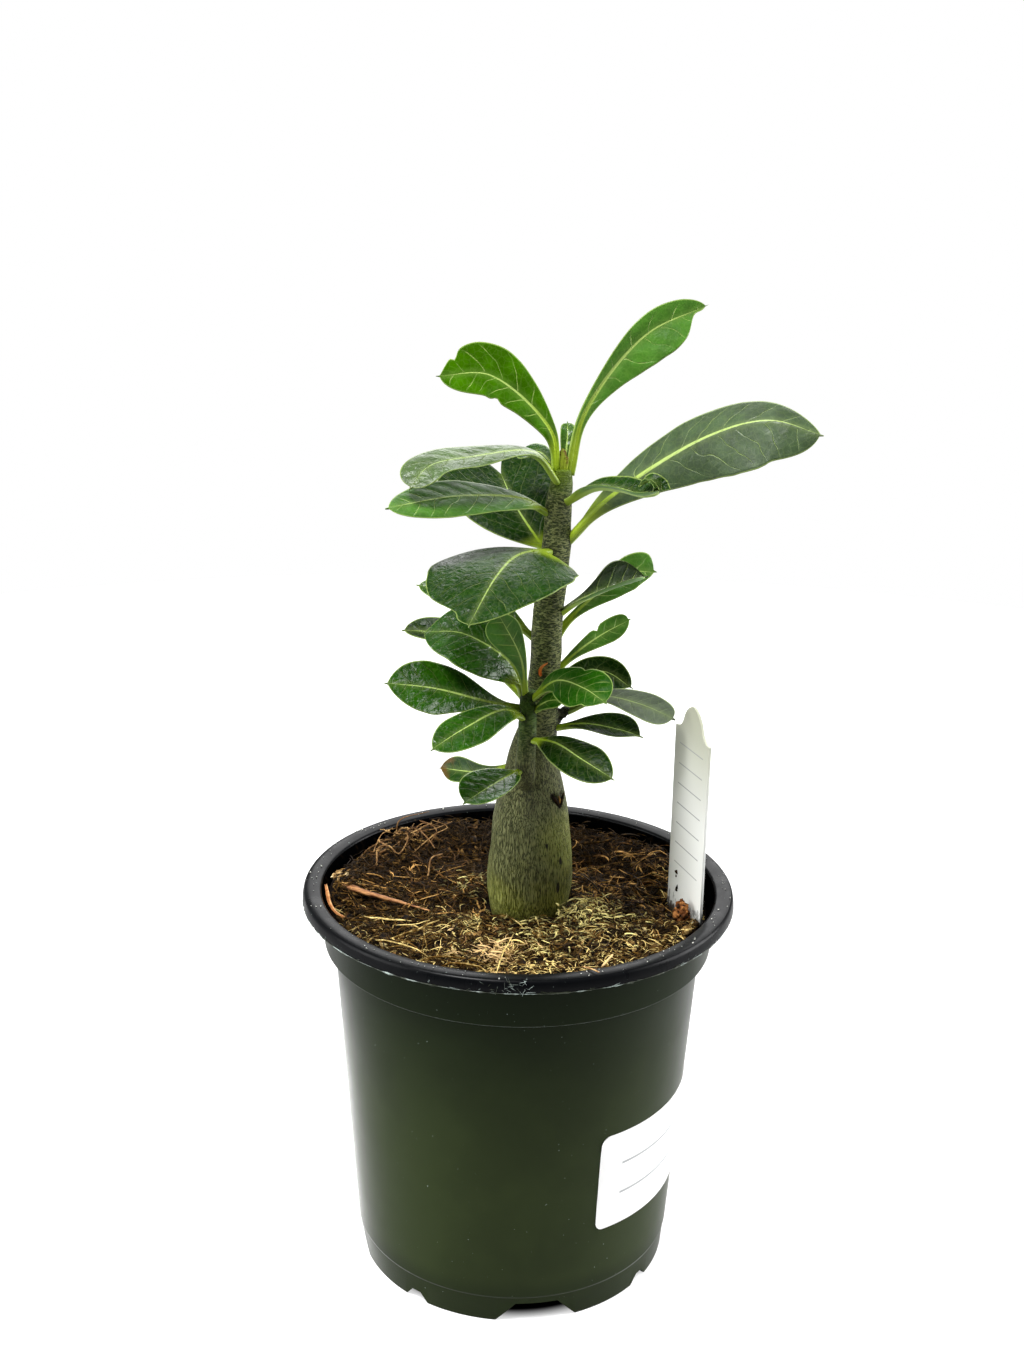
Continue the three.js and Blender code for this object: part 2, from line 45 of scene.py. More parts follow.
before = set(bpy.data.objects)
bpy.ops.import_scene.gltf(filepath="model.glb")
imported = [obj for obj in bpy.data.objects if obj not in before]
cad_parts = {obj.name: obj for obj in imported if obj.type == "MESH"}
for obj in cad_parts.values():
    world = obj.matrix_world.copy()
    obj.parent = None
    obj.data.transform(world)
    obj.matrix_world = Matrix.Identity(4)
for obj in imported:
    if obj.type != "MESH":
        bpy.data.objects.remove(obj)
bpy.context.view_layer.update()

MM = 0.001
POT_LOW, POT_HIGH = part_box("nursery_pot")
AXIS = np.array([(POT_LOW.x + POT_HIGH.x) / 2, (POT_LOW.y + POT_HIGH.y) / 2, 0.0])

# Height of the photograph, in pixels
PHOTO_HEIGHT = 1365

# Notches round the foot: widths at the floor and at the top, height, and bearing of the first
Notch = namedtuple("Notch", "low high height turn")
NOTCH_LARGE = Notch(21, 11, 5.7, 9)
NOTCH_SMALL = Notch(7, 2.6, 2.8, 54)
NOTCHES = 4
DRAIN_RADIUS, DRAIN_RING = 3.5, 31
BASE_LIFT = 6  # height of the raised base panel
SKIRT_DEPTH = 3.5  # from the top of the rim to the foot of its skirt
POT_SEGMENTS = 240

# The label: bearing of its first edge from the front, height of its middle, round of its corners
LABEL_START, LABEL_MIDDLE, LABEL_CORNER = 28.5, 39.6, 2.5

# At the soil: where the tag and the stem stand, and the bearing of the tag's width
TAG_PLACE, TAG_BEARING = (43.6, -7.2), -71
STEM_PLACE = (2.8, 0)

# Middle, height and radius of each stem's rings
TRUNK = [
    (2.7, 0, 76, 1.5), (2.7, 0, 80, 4.6), (2.7, 0, 86, 7), (2.7, 0, 92, 8.6), (2.8, 0, 98, 10.1),
    (2.9, 0, 104, 11.1), (3, 0, 110, 11.2), (3.1, 0, 118, 10.5), (3, 0, 124, 9.9), (3, 0, 130, 9),
    (3.1, 0, 138, 7.2),
    (3.4, 0, 144, 6), (4.4, 0, 150, 4.9), (5.2, 0, 158, 4.3), (5.9, 0, 168, 4), (6.1, 0, 180, 3.9),
    (7, 0, 187, 3.7), (7.8, 0, 197, 3.6), (8.2, 0, 208, 3.2), (8.7, 0, 213, 2.8), (8.8, 0, 216, 2.2),
]
BRANCH = [
    (1.6, -4.5, 132, 2), (1, -7.6, 138, 2.6), (1.2, -8.8, 144, 2.5), (1.4, -9.4, 150, 2.3),
    (1.4, -9.5, 157, 2.2), (1.5, -9.6, 162, 1.8),
]
STUB = [(7, 0.5, 149.5, 1.8), (9.5, 0.8, 151.5, 1.7), (11.5, 1.2, 154, 1.2)]
STEMS = {"trunk": TRUNK, "branch": BRANCH, "stub": STUB}
RING_STEP = 0.8  # between the rings of a stem
# Heights between which the skin of the caudex turns into that of the stem
SKIN_TURNS = (138, 152)
# The two lines of the scar on the caudex's shoulder
SCAR = [[(8.5, -6.6, 132.4), (10.3, -5.4, 129.6)], [(10.3, -5.4, 129.6), (11.2, -3.9, 132.6)]]
# Bearing and height of each swelling where a leaf has dropped off the stem
SWELLINGS = [(200, 190), (30, 176), (285, 171), (130, 183), (70, 201), (250, 206), (335, 187)]

# Leaves: the foot on its stem, the midrib's way to the tip, and the bearing and rise of the upper
# side. left and right are the half blade's width, swell and round: a low swell fills out the base
# and a low round blunts the tip. curl bends each half further from the fold, in degrees.
# A notch is a side, its share of the length, its depth as a share of the width, and its spread.
# lobes is how far the two lobes of a heart-shaped tip reach past the midrib.
Leaf = namedtuple(
    "Leaf",
    "node stem height compass path bearing rise left right fold curl look stalk notches lobes",
    defaults=(14, -14, "deep", 0.1, (), 0),
)
LEAVES = [
    Leaf("leaf_crown_left", "trunk", 215.5, 200, [(5.6, -2, 225.3), (-9, -5, 238.8), (-21, -9, 239)],
         -71, 27, (6.2, 1.25, 0.55), (7.6, 2.2, 0.95), 18, -16, "young", 0.08,
         [("right", 0.9, 0.3, 0.02), ("left", 0.62, 0.18, 0.03)]),
    Leaf("leaf_crown_right", "trunk", 214.5, 0, [(13.8, 2, 229.2), (28.2, 5, 248), (42.8, 8, 255)],
         -68, 22, (4.4, 2.4, 0.65), (7.4, 2.6, 1.1), 18, -12, "light", 0.1,
         [("right", 0.95, 0.75, 0.045)]),
    Leaf("leaf_crown_back_left", "trunk", 214.5, 130, [(3.5, 8, 218.5), (-2, 14, 217.5)],
         -90, 50, (3, 1.1, 0.5), (3, 1.1, 0.5)),
    Leaf("leaf_crown_back", "trunk", 214.5, 75, [(10, 5, 223.5), (10, 8, 226)],
         -90, 20, (1.9, 1.1, 0.4), (1.9, 1.1, 0.4)),
    Leaf("leaf_drooping_left", "trunk", 213, 246,
         [(2, -5, 220.3), (-13, -13, 220.6), (-23, -18.5, 219), (-26.8, -23, 215)],
         -62, 74, (5.6, 1.3, 0.5), (6.4, 1.1, 0.4), 6, -10, "pale"),
    Leaf("leaf_curled_right", "trunk", 208, 308,
         [(16.5, -11, 213.5), (22, -17, 214.3), (27.5, -21.5, 213.8), (30.5, -24, 215.4),
          (28.6, -22.8, 217.6), (26.5, -21, 216.2)],
         -90, 70, (3.6, 0.8, 0.6), (3.6, 0.8, 0.6), 22, 20, "broad"),
    Leaf("leaf_flat_left", "trunk", 205, 200, [(-0.8, -6, 209.3), (-15.5, -14, 211.4), (-32, -24, 210.2)],
         -86, 62, (7.4, 0.75, 0.5), (6.8, 1.3, 0.75), 4, -10, "fresh"),
    Leaf("leaf_long_right", "trunk", 198, 345,
         [(20.5, -7, 210.5), (42.5, -17, 227.3), (55.5, -23, 231.8), (66.3, -27, 229.4)],
         -92, 38, (8.2, 1.1, 0.75), (11, 1.45, 0.56), -14, -10, "dull"),
    Leaf("leaf_notched_back", "trunk", 194, 140, [(-2.5, 13, 204), (-6.5, 24, 210.3)],
         -83, 39, (17, 0.85, 0.12), (13, 0.95, 0.12), 6, -6, "shade", 0.1, (), 8),
    Leaf("leaf_broad_front", "trunk", 196, 240, [(-1.5, -14, 197.3), (-6.8, -28, 195), (-12.5, -42, 187.3)],
         -95, 78, (17, 0.42, 0.85), (18, 0.85, 0.72), 2, -16, "broad", 0.1,
         [("right", 0.93, 0.4, 0.05)]),
    Leaf("leaf_folded_right", "trunk", 179, 345, [(13.3, -4, 183.4), (21.3, -6, 187.7), (29.5, -9, 191.3)],
         -105, 50, (6.3, 3, 1), (5.5, 2.1, 0.4), 26, 60, "folded"),
    Leaf("leaf_behind_broad", "trunk", 172, 165, [(-5.5, 4, 178.5), (-15, 8, 181.5), (-27, 10, 183.5)],
         -80, 50, (4.5, 1.1, 0.6), (4.5, 1.1, 0.6)),
    Leaf("leaf_stalked_right", "trunk", 165, 40,
         [(9.2, 4.5, 172.6), (17, 7, 181.3), (27, 9, 188), (33.4, 11, 187.8)],
         -86, 26, (5, 2.7, 0.4), (4.7, 1.9, 0.95), 14, -14, "fresh", 0.3),
    Leaf("leaf_side_upright", "trunk", 164, 5, [(14.4, 2.5, 169), (20.7, 5, 172.9), (27.2, 7, 176)],
         -85, 24, (2.9, 1.3, 0.32), (3.1, 1.8, 0.75), 10, -10, "fresh", 0.1,
         [("left", 0.63, 0.4, 0.03)]),
    Leaf("leaf_side_dark", "trunk", 156, 30, [(14.4, 6, 160.7), (21.4, 8, 161.7), (28.4, 8, 157.6)],
         -90, 38, (4.2, 0.7, 0.5), (7, 0.95, 1.05), 14, -14, "shade"),
    Leaf("leaf_side_dull", "stub", 153, 350, [(20.4, 0, 157.3), (30.2, -4, 156.8), (38, -8, 154.6)],
         -90, 62, (4.6, 1.05, 0.38), (5.2, 1.7, 0.45), 8, -10, "grey"),
    Leaf("leaf_side_low", "trunk", 149, 345, [(16.6, -2, 150.6), (25, -4, 149.9), (30.2, -6, 149)],
         -89, 63, (5.3, 2, 0.85), (3.7, 2, 1.3), 12, -10, "shade"),
    Leaf("leaf_branch_back_left", "branch", 158, 85, [(-11, -2, 169.5), (-21, 3, 172.5), (-30.5, 6, 172.5)],
         -80, 50, (3.8, 1.3, 0.7), (4.6, 1.1, 0.5), 22, -14, "shade"),
    Leaf("leaf_branch_large", "branch", 160.5, 178, [(-3, -9.5, 168.5), (-15, -9, 176), (-24.5, -7, 175.8)],
         -70, 54, (10.6, 0.7, 0.6), (9, 2, 1.1), 8, -12),
    Leaf("leaf_branch_upright", "branch", 161, 235, [(-0.5, -13, 171), (-6.1, -15, 182.6)],
         -94, 15, (5.3, 1.7, 0.38), (3.4, 2.5, 0.6), 15, -10, "fresh"),
    Leaf("leaf_branch_far_left", "branch", 157, 183,
         [(-8, -12.7, 159.4), (-21, -17.4, 164.2), (-32.5, -24, 167.5)],
         -85, 42, (7.4, 1.7, 0.75), (7.1, 1.4, 0.8), 12),
    Leaf("leaf_branch_low_left", "branch", 155, 240,
         [(-4.9, -16.4, 158.6), (-14, -24, 156.3), (-21.2, -31, 153.5)],
         -98, 47, (6.2, 0.8, 0.55), (4.6, 1.5, 0.75), 10),
    Leaf("leaf_branch_right", "branch", 160, 320, [(8.5, -17, 166.7), (15, -25, 167.2), (19.4, -30, 165.6)],
         -86, 39, (6.2, 1.35, 0.5), (6.5, 1.9, 0.9), 8, -12, "bright", 0.1,
         [("left", 0.6, 0.16, 0.03), ("right", 0.86, 0.2, 0.03)]),
    Leaf("leaf_branch_small", "branch", 156.5, 350, [(6.5, -12.5, 160), (10, -13, 160.5)],
         -90, 50, (2.5, 1.1, 0.5), (2.5, 1.1, 0.5), 10, -10, "bright"),
    Leaf("leaf_branch_low_right", "branch", 149, 315,
         [(8.5, -18, 150.8), (15, -26, 149.4), (21.7, -31, 146.8)],
         -84, 45, (5.2, 1.35, 0.7), (6.1, 0.9, 0.6), 10, -14, "shade"),
    Leaf("leaf_shoulder_front", "branch", 140.5, 240,
         [(-4.2, -16, 140.6), (-9.3, -22, 139.5), (-13.5, -26, 138)],
         -99, 58, (5.3, 0.75, 0.52), (6.3, 1.05, 0.5), 18, -12),
    Leaf("leaf_shoulder_back", "trunk", 138.5, 190, [(-11, 2, 135.6), (-21.2, 8, 134.2)],
         -95, 38, (3.6, 2.2, 1.1), (3.8, 2.1, 0.75), 15, -10, "scorched"),
]
LEAF_STEP = 0.75  # between the stations along a leaf
HALF_COLUMNS = 13  # mesh columns on each side of the midrib
BLADE_THICK = 0.22

# Looks of the leaves: the setting that holds the blade's colour and how bright it is, how bright the
# stalk is, roughness, shine, how strong the veins are, depth of the wrinkles in metres, how strong the
# midrib is, and whether the tip is scorched
Look = namedtuple(
    "Look", "colour bright stalk rough shine veined wrinkled ribbed scorched", defaults=(0.0002, 0.84, False)
)
LOOKS = {
    "deep": Look("leaf_deep", 1.3, 0.6, 0.24, 0.28, 0.14, 0.0005),
    # shade: the deep colour darkened as painted shade, for leaves that stand in shadow
    "shade": Look("leaf_deep", 0.42, 1, 0.3, 0.08, 0.08, 0.0004),
    "folded": Look("leaf_folded", 1, 0.3, 0.3, 0.5, 0.7, 0.0005, 0.5),
    "grey": Look("leaf_grey", 1, 0.3, 0.45, 0.4, 0.08, 0.0002, 0.3),
    "light": Look("leaf_fresh", 1.55, 0.8, 0.36, 0.2, 0.5),
    "fresh": Look("leaf_fresh", 1, 0.8, 0.36, 0.15, 0.45),
    "bright": Look("leaf_bright", 1, 0.7, 0.35, 0.05, 0.4),
    "young": Look("leaf_young", 1, 1.25, 0.4, 0.02, 0.6),
    "dull": Look("leaf_dull", 1, 1, 0.42, 0.34, 0.3, 0.00015),
    "pale": Look("leaf_pale", 1, 0.9, 0.34, 0.34, 0.2, 0.0005, 0.5),
    "broad": Look("leaf_deep", 0.8, 0.8, 0.32, 0.12, 0.22, 0.0009, 0.6),
    "scorched": Look("leaf_deep", 0.7, 1, 0.4, 0.14, 0.14, scorched=True),
}

# Rises and hollows of the soil: place, lift and reach
MOUNDS = [
    (46.5, -17, 3.4, 6.5), (38.5, 4, -4.2, 5), (17, -6, 1.8, 6), (-9.5, -2, -2.2, 3.2), (0, -12.5, -0.8, 3),
    (-33, 33, 2, 8), (22, -24, 1.4, 9), (-22, -30, 0.6, 12), (-22, 42, 2, 9), (36, 27, 0.8, 8),
    (-48, 2, 2.8, 12), (-8, 26, -1.4, 8), (18, 24, -1.6, 8), (-42, -24, 1.4, 8), (-50, -4, 2.4, 8),
]
# Ways of what lies on the soil: loose rootlets and arches of root at the back left, a curled peel and
# a splinter at the left, and two straws at the front
ROOTLETS = [
    [(-38.9, 14, 103.3), (-38.9, 22, 105.2), (-36.1, 22, 105.6), (-33.6, 21, 103.6), (-31.2, 27, 105.7),
     (-32.8, 34.9, 104.7)],
    [(-24.4, 7, 103.4), (-23.8, 14, 105.7), (-21.1, 18, 105.2)],
    [(-28.2, 33.9, 105.4), (-25.6, 28.2, 105.4), (-23.5, 24, 104.4)],
]
ARCHES = {
    "root_strand_1": [(-33, 28, 101), (-30.5, 32, 104), (-28, 35.5, 105.6), (-25, 38.5, 106)],
    "root_strand_2": [(-41, 22, 101), (-38.5, 26, 103.6), (-35.5, 29.5, 103.6), (-33.4, 34, 102)],
}
PEEL = [(-51, -3.4, 105), (-49.9, -8.2, 104.6), (-49, -12.4, 104.2), (-46.7, -18, 104), (-44.4, -20.6, 103.9)]
SPLINTER = [(-46.6, -2.6, 0), (-41.2, -4.2, 0), (-32.3, -5.8, 0), (-23, -7.4, 0)]
STRAWS = [
    [(15.2, -47.8, 105.3), (17, -50.4, 106.2), (19, -53, 106.6)],
    [(20, -46, 104.4), (21.4, -43.9, 105), (22.8, -41.6, 105.4)],
]


def srgb(red, green, blue):
    """A colour given as 0 to 255 on the screen, as the linear values that shaders use."""
    return tuple(((c / 255 + 0.055) / 1.055) ** 2.4 if c > 10 else c / 3294.6 for c in (red, green, blue))


def number(name, description, default, **kind):
    return FloatProperty(name=name, description=description, default=default, **kind)


def size(name, description, default):
    return number(name, description, default, unit="LENGTH", precision=4)


def degrees(name, description, default):
    return number(name, description, math.radians(default), subtype="ANGLE")


def power(name, description, default):
    return number(name, description, default, unit="POWER")


def tint(name, description, default):
    return FloatVectorProperty(
        name=name, description=description, default=default, subtype="COLOR", size=3, min=0, max=1
    )


def amount(name, description, default):
    return IntProperty(name=name, description=description, default=default, min=1)


class PotSettings(bpy.types.PropertyGroup):
    rim_radius: size("Rim radius", "From the axis to the outside of the rim", (POT_HIGH.x - POT_LOW.x) / 2)
    height: size("Height", "From the floor to the top of the rim", POT_HIGH.z)
    mouth_radius: size("Mouth radius", "From the axis to the rim's inner edge", 0.0517)
    collar_radius: size("Collar radius", "Outside of the wide collar under the rim", 0.0514)
    collar_low: size("Collar's lower edge", "Height of the step under the collar", 0.09)
    wall_top_radius: size("Wall radius, top", "Outside of the wall just under the collar", 0.0487)
    wall_low_radius: size("Wall radius, foot", "Outside of the wall just above the foot", 0.0432)
    foot_radius: size("Foot radius", "Outside of the foot ring", 0.0423)
    foot_height: size("Foot height", "Height of the foot ring", 0.008)
    wall: size("Wall thickness", "Thickness of the moulded wall", 0.0012)
    plastic: tint("Wall colour", "Dark olive plastic of the wall", srgb(42, 52, 24))
    rim_plastic: tint("Rim colour", "Charcoal plastic of the rim", srgb(8, 9, 11))
    flash: tint("Flash colour", "Pale ragged edge left by the mould", srgb(156, 170, 164))
    label_width: size("Label width", "Round the wall", 0.0667)
    label_height: size("Label height", "Up the wall", 0.0284)
    label_paper: tint("Label colour", "Smooth white paper", srgb(250, 250, 249))


class SoilSettings(bpy.types.PropertyGroup):
    top: size("Soil level", "Height of the soil at the stem", 0.099)
    golden: amount("Golden fibres", "Number of golden coir fibres", 4200)
    brown: amount("Brown fibres", "Number of brown coir fibres", 3600)
    dark: amount("Dark fibres", "Number of dark root fibres", 3000)
    moss: amount("Mossy bits", "Number of short yellow bits near the stem", 620)
    crumbs: amount("Crumbs", "Number of peat crumbs", 1700)
    peat: tint("Peat colour", "Dark bed under the fibres", srgb(28, 17, 8))
    straw: tint("Straw colour", "Lightest coir fibres", srgb(250, 222, 142))
    coir: tint("Coir colour", "Usual coir fibres", srgb(108, 78, 28))
    moss_tint: tint("Moss colour", "Short yellow-green bits", srgb(242, 226, 146))


class PlantSettings(bpy.types.PropertyGroup):
    grey_bark: tint("Caudex colour", "Grey-green skin of the swollen base", srgb(124, 130, 82))
    green_bark: tint("Caudex foot colour", "Green skin near the soil", srgb(116, 120, 14))
    stem_bark: tint("Stem colour", "Olive skin of the upper stem", srgb(66, 80, 28))
    leaf_deep: tint("Deep leaf colour", "Mature leaves", srgb(24, 62, 0))
    leaf_fresh: tint("Fresh leaf colour", "Younger leaves", srgb(60, 102, 30))
    leaf_bright: tint("Bright leaf colour", "The bright leaf of the front branch", srgb(28, 76, 0))
    leaf_young: tint("Young leaf colour", "The newest leaf at the top", srgb(54, 100, 0))
    leaf_dull: tint("Dull leaf colour", "Old grey-green leaves", srgb(58, 78, 46))
    leaf_pale: tint("Pale leaf colour", "The drooping leaf near the top", srgb(70, 94, 48))
    leaf_folded: tint("Folded leaf colour", "The folded leaf at the right", srgb(42, 62, 30))
    leaf_grey: tint("Grey leaf colour", "The greyest leaf, at the right", srgb(64, 76, 56))
    stalk: tint("Stalk colour", "Stalks and feet of the leaves", srgb(142, 166, 40))
    vein: tint("Vein colour", "Midribs and veins", srgb(168, 192, 104))


class TagSettings(bpy.types.PropertyGroup):
    width: size("Tag width", "Across the tag", 0.02)
    thickness: size("Tag thickness", "Through the tag", 0.0007)
    shoulder: size("Shoulder height", "Height of the tag's two shoulders", 0.15)
    peak: size("Peak height", "Height of the tag's rounded peak", 0.1575)
    taper: size("Taper height", "Where the buried point begins", 0.0995)
    tip: size("Tip height", "Lowest point of the tag", 0.083)
    x: size("Place X", "From the pot's axis", TAG_PLACE[0] * MM)
    y: size("Place Y", "From the pot's axis", TAG_PLACE[1] * MM)
    turn: degrees("Bearing", "Of the tag's width", TAG_BEARING)
    # The colour that the tag greys to at its top, as painted shade
    plastic: tint("Tag colour", "Matt white plastic", srgb(176, 178, 158))


class StageSettings(bpy.types.PropertyGroup):
    distance: size("Camera distance", "From the camera to the point it looks at", 0.4092)
    look_x: size("Look at X", "From the pot's axis", -0.00263)
    look_z: size("Look at Z", "Above the floor", 0.1608)
    pitch: degrees("Camera pitch", "Downwards", 17.2)
    roll: degrees("Camera roll", "Lean of the frame", 1.03)
    lens_pixels: number("Lens in pixels", "Focal length in the photograph", 1600)
    floor_tint: tint("Floor colour", "Plain pale floor", (0.5, 0.5, 0.5))
    floor_glow: number("Floor glow", "Keeps the floor white in the picture", 0.7)
    key: power("Key light", "Power of the light above", 13)
    left: power("Left light", "Power of the light at the left", 8)
    right: power("Right light", "Power of the light at the right", 13)
    back: power("Back light", "Power of the light behind", 7)


# Shapes in numbers
def placed(points):
    """Millimetres from the pot's axis and foot, as metres in the model's frame."""
    return np.asarray(points, float) * MM + AXIS


def in_mm(settings, *names):
    """The named sizes of a group of settings."""
    return [getattr(settings, name) / MM for name in names]


def heading(bearing, rise=0):
    """The direction with that bearing from +X and that rise, both in degrees."""
    turn, lift = math.radians(bearing), math.radians(rise)
    return np.array([math.cos(lift) * math.cos(turn), math.cos(lift) * math.sin(turn), math.sin(lift)])


def unit(vectors):
    """Each vector at a length of 1."""
    return vectors / np.linalg.norm(vectors, axis=-1, keepdims=True)


def ease(value, low, high):
    """A smooth step from 0 at low to 1 at high, which may be the smaller of the two."""
    share = np.clip((value - low) / (high - low), 0, 1)
    return share * share * (3 - 2 * share)


def circle(count):
    """Points of a level circle of radius 1."""
    turn = np.linspace(0, 2 * math.pi, count, endpoint=False)
    return np.stack([np.cos(turn), np.sin(turn), np.zeros(count)], 1)


def read_off(rows, spots, wanted):
    """Rows of numbers that stand at the given spots, read off at the wanted ones."""
    return np.stack([np.interp(wanted, spots, column) for column in rows.T], 1)


def curve(start, bend, end, steps):
    """Points of the round corner from start to end whose sides meet at the bend."""
    return [(1 - t) ** 2 * start + 2 * t * (1 - t) * bend + t**2 * end for t in np.linspace(0, 1, steps)]


def grain(points, feature, seed=0.0, octaves=1):
    """Smooth noise of about -1 to 1 at each point, with features of that size."""
    shift = Vector((seed, -seed, 2 * seed))
    total = np.zeros(len(points))
    for octave in range(octaves):
        finer = 2**octave
        total += [noise.noise(Vector(p) * (finer / feature) + shift) / finer for p in points]
    return total


def smooth_path(points, steps):
    """Evenly spaced points on the centripetal curve through the given ones, and its length."""
    fine = 24  # points that each stretch is worked out at
    way = [np.array(p, float) for p in points]
    way = [2 * way[0] - way[1], *way, 2 * way[-1] - way[-2]]
    line = []
    for before, start, end, after in zip(way, way[1:], way[2:], way[3:]):
        pairs = ((before, start), (start, end), (end, after))
        gaps = [max(1e-4, math.sqrt(math.dist(a, b))) for a, b in pairs]
        first = (start - before) / gaps[0] - (end - before) / (gaps[0] + gaps[1]) + (end - start) / gaps[1]
        last = (end - start) / gaps[1] - (after - start) / (gaps[1] + gaps[2]) + (after - end) / gaps[2]
        first, last = first * gaps[1], last * gaps[1]
        for w in np.arange(fine) / fine:
            bend = (-3 * start + 3 * end - 2 * first - last) * w**2
            line.append(start + first * w + bend + (2 * start - 2 * end + first + last) * w**3)
    line = np.array([*line, way[-2]])
    run = np.concatenate([[0], np.cumsum(np.linalg.norm(np.diff(line, axis=0), axis=1))])
    spots = np.linspace(0, run[-1], steps + 1)
    return read_off(line, run, spots), run[-1]


def grid_faces(rows, columns, closed=True):
    """Quads of a grid of rows that each hold so many points."""
    across = columns if closed else columns - 1
    row, column = np.meshgrid(np.arange(rows - 1), np.arange(across), indexing="ij")
    here = row * columns + column
    right = row * columns + (column + 1) % columns
    return np.stack([here, right, right + columns, here + columns], -1).reshape(-1, 4)


def ring_faces(rows, columns):
    """Quads of a grid that closes both ways, as on a tyre."""
    last = (rows - 1) * columns
    seam = [[last + j, last + (j + 1) % columns, (j + 1) % columns, j] for j in range(columns)]
    return grid_faces(rows, columns).tolist() + seam


def capped_loft(loops):
    """Points and faces of a closed body through loops of as many points each."""
    loops = np.asarray(loops, float)
    rows, columns = loops.shape[:2]
    points = [*loops.reshape(-1, 3), loops[0].mean(0), loops[-1].mean(0)]
    faces = grid_faces(rows, columns).tolist()
    low, high = rows * columns, rows * columns + 1
    last = (rows - 1) * columns
    for j in range(columns):
        after = (j + 1) % columns
        faces.append([low, after, j])
        faces.append([high, last + j, last + after])
    return np.array(points), faces


def joined(bodies):
    """Points and faces of several bodies as one."""
    points, faces = [], []
    for body_points, body_faces in bodies:
        faces += [[i + len(points) for i in face] for face in body_faces]
        points += list(body_points)
    return points, faces


def ball(subdivisions):
    """Points and faces of a ball of radius 1."""
    form = bmesh.new()
    bmesh.ops.create_icosphere(form, subdivisions=subdivisions, radius=1)
    points = np.array([v.co[:] for v in form.verts])
    faces = np.array([[v.index for v in face.verts] for face in form.faces])
    form.free()
    return points, faces


def box_of(node):
    """Middle and half size of a node's box, in millimetres from the pot's axis and foot."""
    low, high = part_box(node)
    return (np.array([*(low + high) / 2]) - AXIS) / MM, np.array([*(high - low) / 2]) / MM


def rounded(corners, steps=5):
    """The profile with each corner that has a third number rounded off by that radius."""
    out = []
    count = len(corners)
    for i, corner in enumerate(corners):
        here = np.array(corner[:2], float)
        if len(corner) < 3:
            out.append(here)
            continue
        before = np.array(corners[i - 1][:2], float)
        after = np.array(corners[(i + 1) % count][:2], float)
        start = here + unit(before - here) * corner[2]
        end = here + unit(after - here) * corner[2]
        out += curve(start, here, end, steps)
    return out


# Meshes
def make_piece(name, points, faces, materials, values=None, choice=None, angle=None):
    """A new mesh object. values are named numbers or vectors at its points."""
    mesh = bpy.data.meshes.new(name)
    mesh.from_pydata(np.asarray(points, float).tolist(), [], [list(map(int, face)) for face in faces])
    for material in materials:
        mesh.materials.append(material)
    mesh.polygons.foreach_set("use_smooth", [True] * len(mesh.polygons))
    if choice is not None:
        mesh.polygons.foreach_set("material_index", choice)
    for key, numbers in (values or {}).items():
        numbers = np.asarray(numbers, float)
        kind, field = ("FLOAT", "value") if numbers.ndim == 1 else ("FLOAT_VECTOR", "vector")
        mesh.attributes.new(key, kind, "POINT").data.foreach_set(field, numbers.ravel())
    if angle:
        mesh.set_sharp_from_angle(angle=math.radians(angle))
    mesh.update()
    piece = bpy.data.objects.new(name, mesh)
    bpy.context.scene.collection.objects.link(piece)
    return piece


def seat(piece, slot, *nodes):
    """The piece stands for the nodes, which are hidden, and moves with the pot. The slot is not used."""
    if nodes:
        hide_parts(*nodes)
    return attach(piece, "root")


def with_modifier(piece, kind, **settings):
    """Applies one modifier to the piece's mesh."""
    modifier = piece.modifiers.new(kind.title(), kind)
    for key, value in settings.items():
        setattr(modifier, key, value)
    bpy.context.view_layer.update()
    shaped = piece.evaluated_get(bpy.context.evaluated_depsgraph_get())
    mesh = bpy.data.meshes.new_from_object(shaped)
    piece.modifiers.clear()
    old, piece.data = piece.data, mesh
    mesh.name = piece.name
    bpy.data.meshes.remove(old)


def points_of(piece):
    """The piece's points as millimetres from the pot's axis and foot."""
    points = np.empty(len(piece.data.vertices) * 3)
    piece.data.vertices.foreach_get("co", points)
    return (points.reshape(-1, 3) - AXIS) / MM


def normals_of(piece):
    """The normals at the piece's points."""
    normals = np.empty(len(piece.data.vertices) * 3)
    piece.data.vertices.foreach_get("normal", normals)
    return normals.reshape(-1, 3)


def set_points(piece, points):
    """Moves the piece's points to places given in millimetres."""
    piece.data.vertices.foreach_set("co", placed(points).ravel())
    piece.data.update()


def set_values(piece, key, numbers):
    """Gives the piece a named number at each point."""
    piece.data.attributes.new(key, "FLOAT", "POINT").data.foreach_set("value", numbers)


def strand_piece(name, centres, radii, sides, material, slot, *nodes, tones=None):
    """Many thin closed tubes as one piece, each along a row of centres and with its own tone."""
    centres, radii = np.asarray(centres), np.asarray(radii)[:, :, None, None]
    count, steps = centres.shape[:2]
    along = unit(np.gradient(centres, axis=1))
    side = unit(np.cross(along, [0.0, 0.0, 1.0]) + [1e-6, 0, 0])
    over = np.cross(side, along)
    turn = (np.arange(sides) * 2 * math.pi / sides)[:, None]
    rings = centres[:, :, None] + radii * np.cos(turn) * side[:, :, None]
    rings = rings + radii * np.sin(turn) * over[:, :, None]
    each = steps * sides  # points in one strand
    starts = np.arange(count)[:, None, None] * each
    walls = (starts + grid_faces(steps, sides)[:, ::-1]).reshape(-1, 4).tolist()
    first = np.arange(sides)
    ends = (starts + np.stack([first, first[::-1] + each - sides])).reshape(-1, sides).tolist()
    values = {} if tones is None else {"tone": np.repeat(tones, each)}
    seat(make_piece(name, placed(rings.reshape(-1, 3)), walls + ends, [material], values), slot, *nodes)


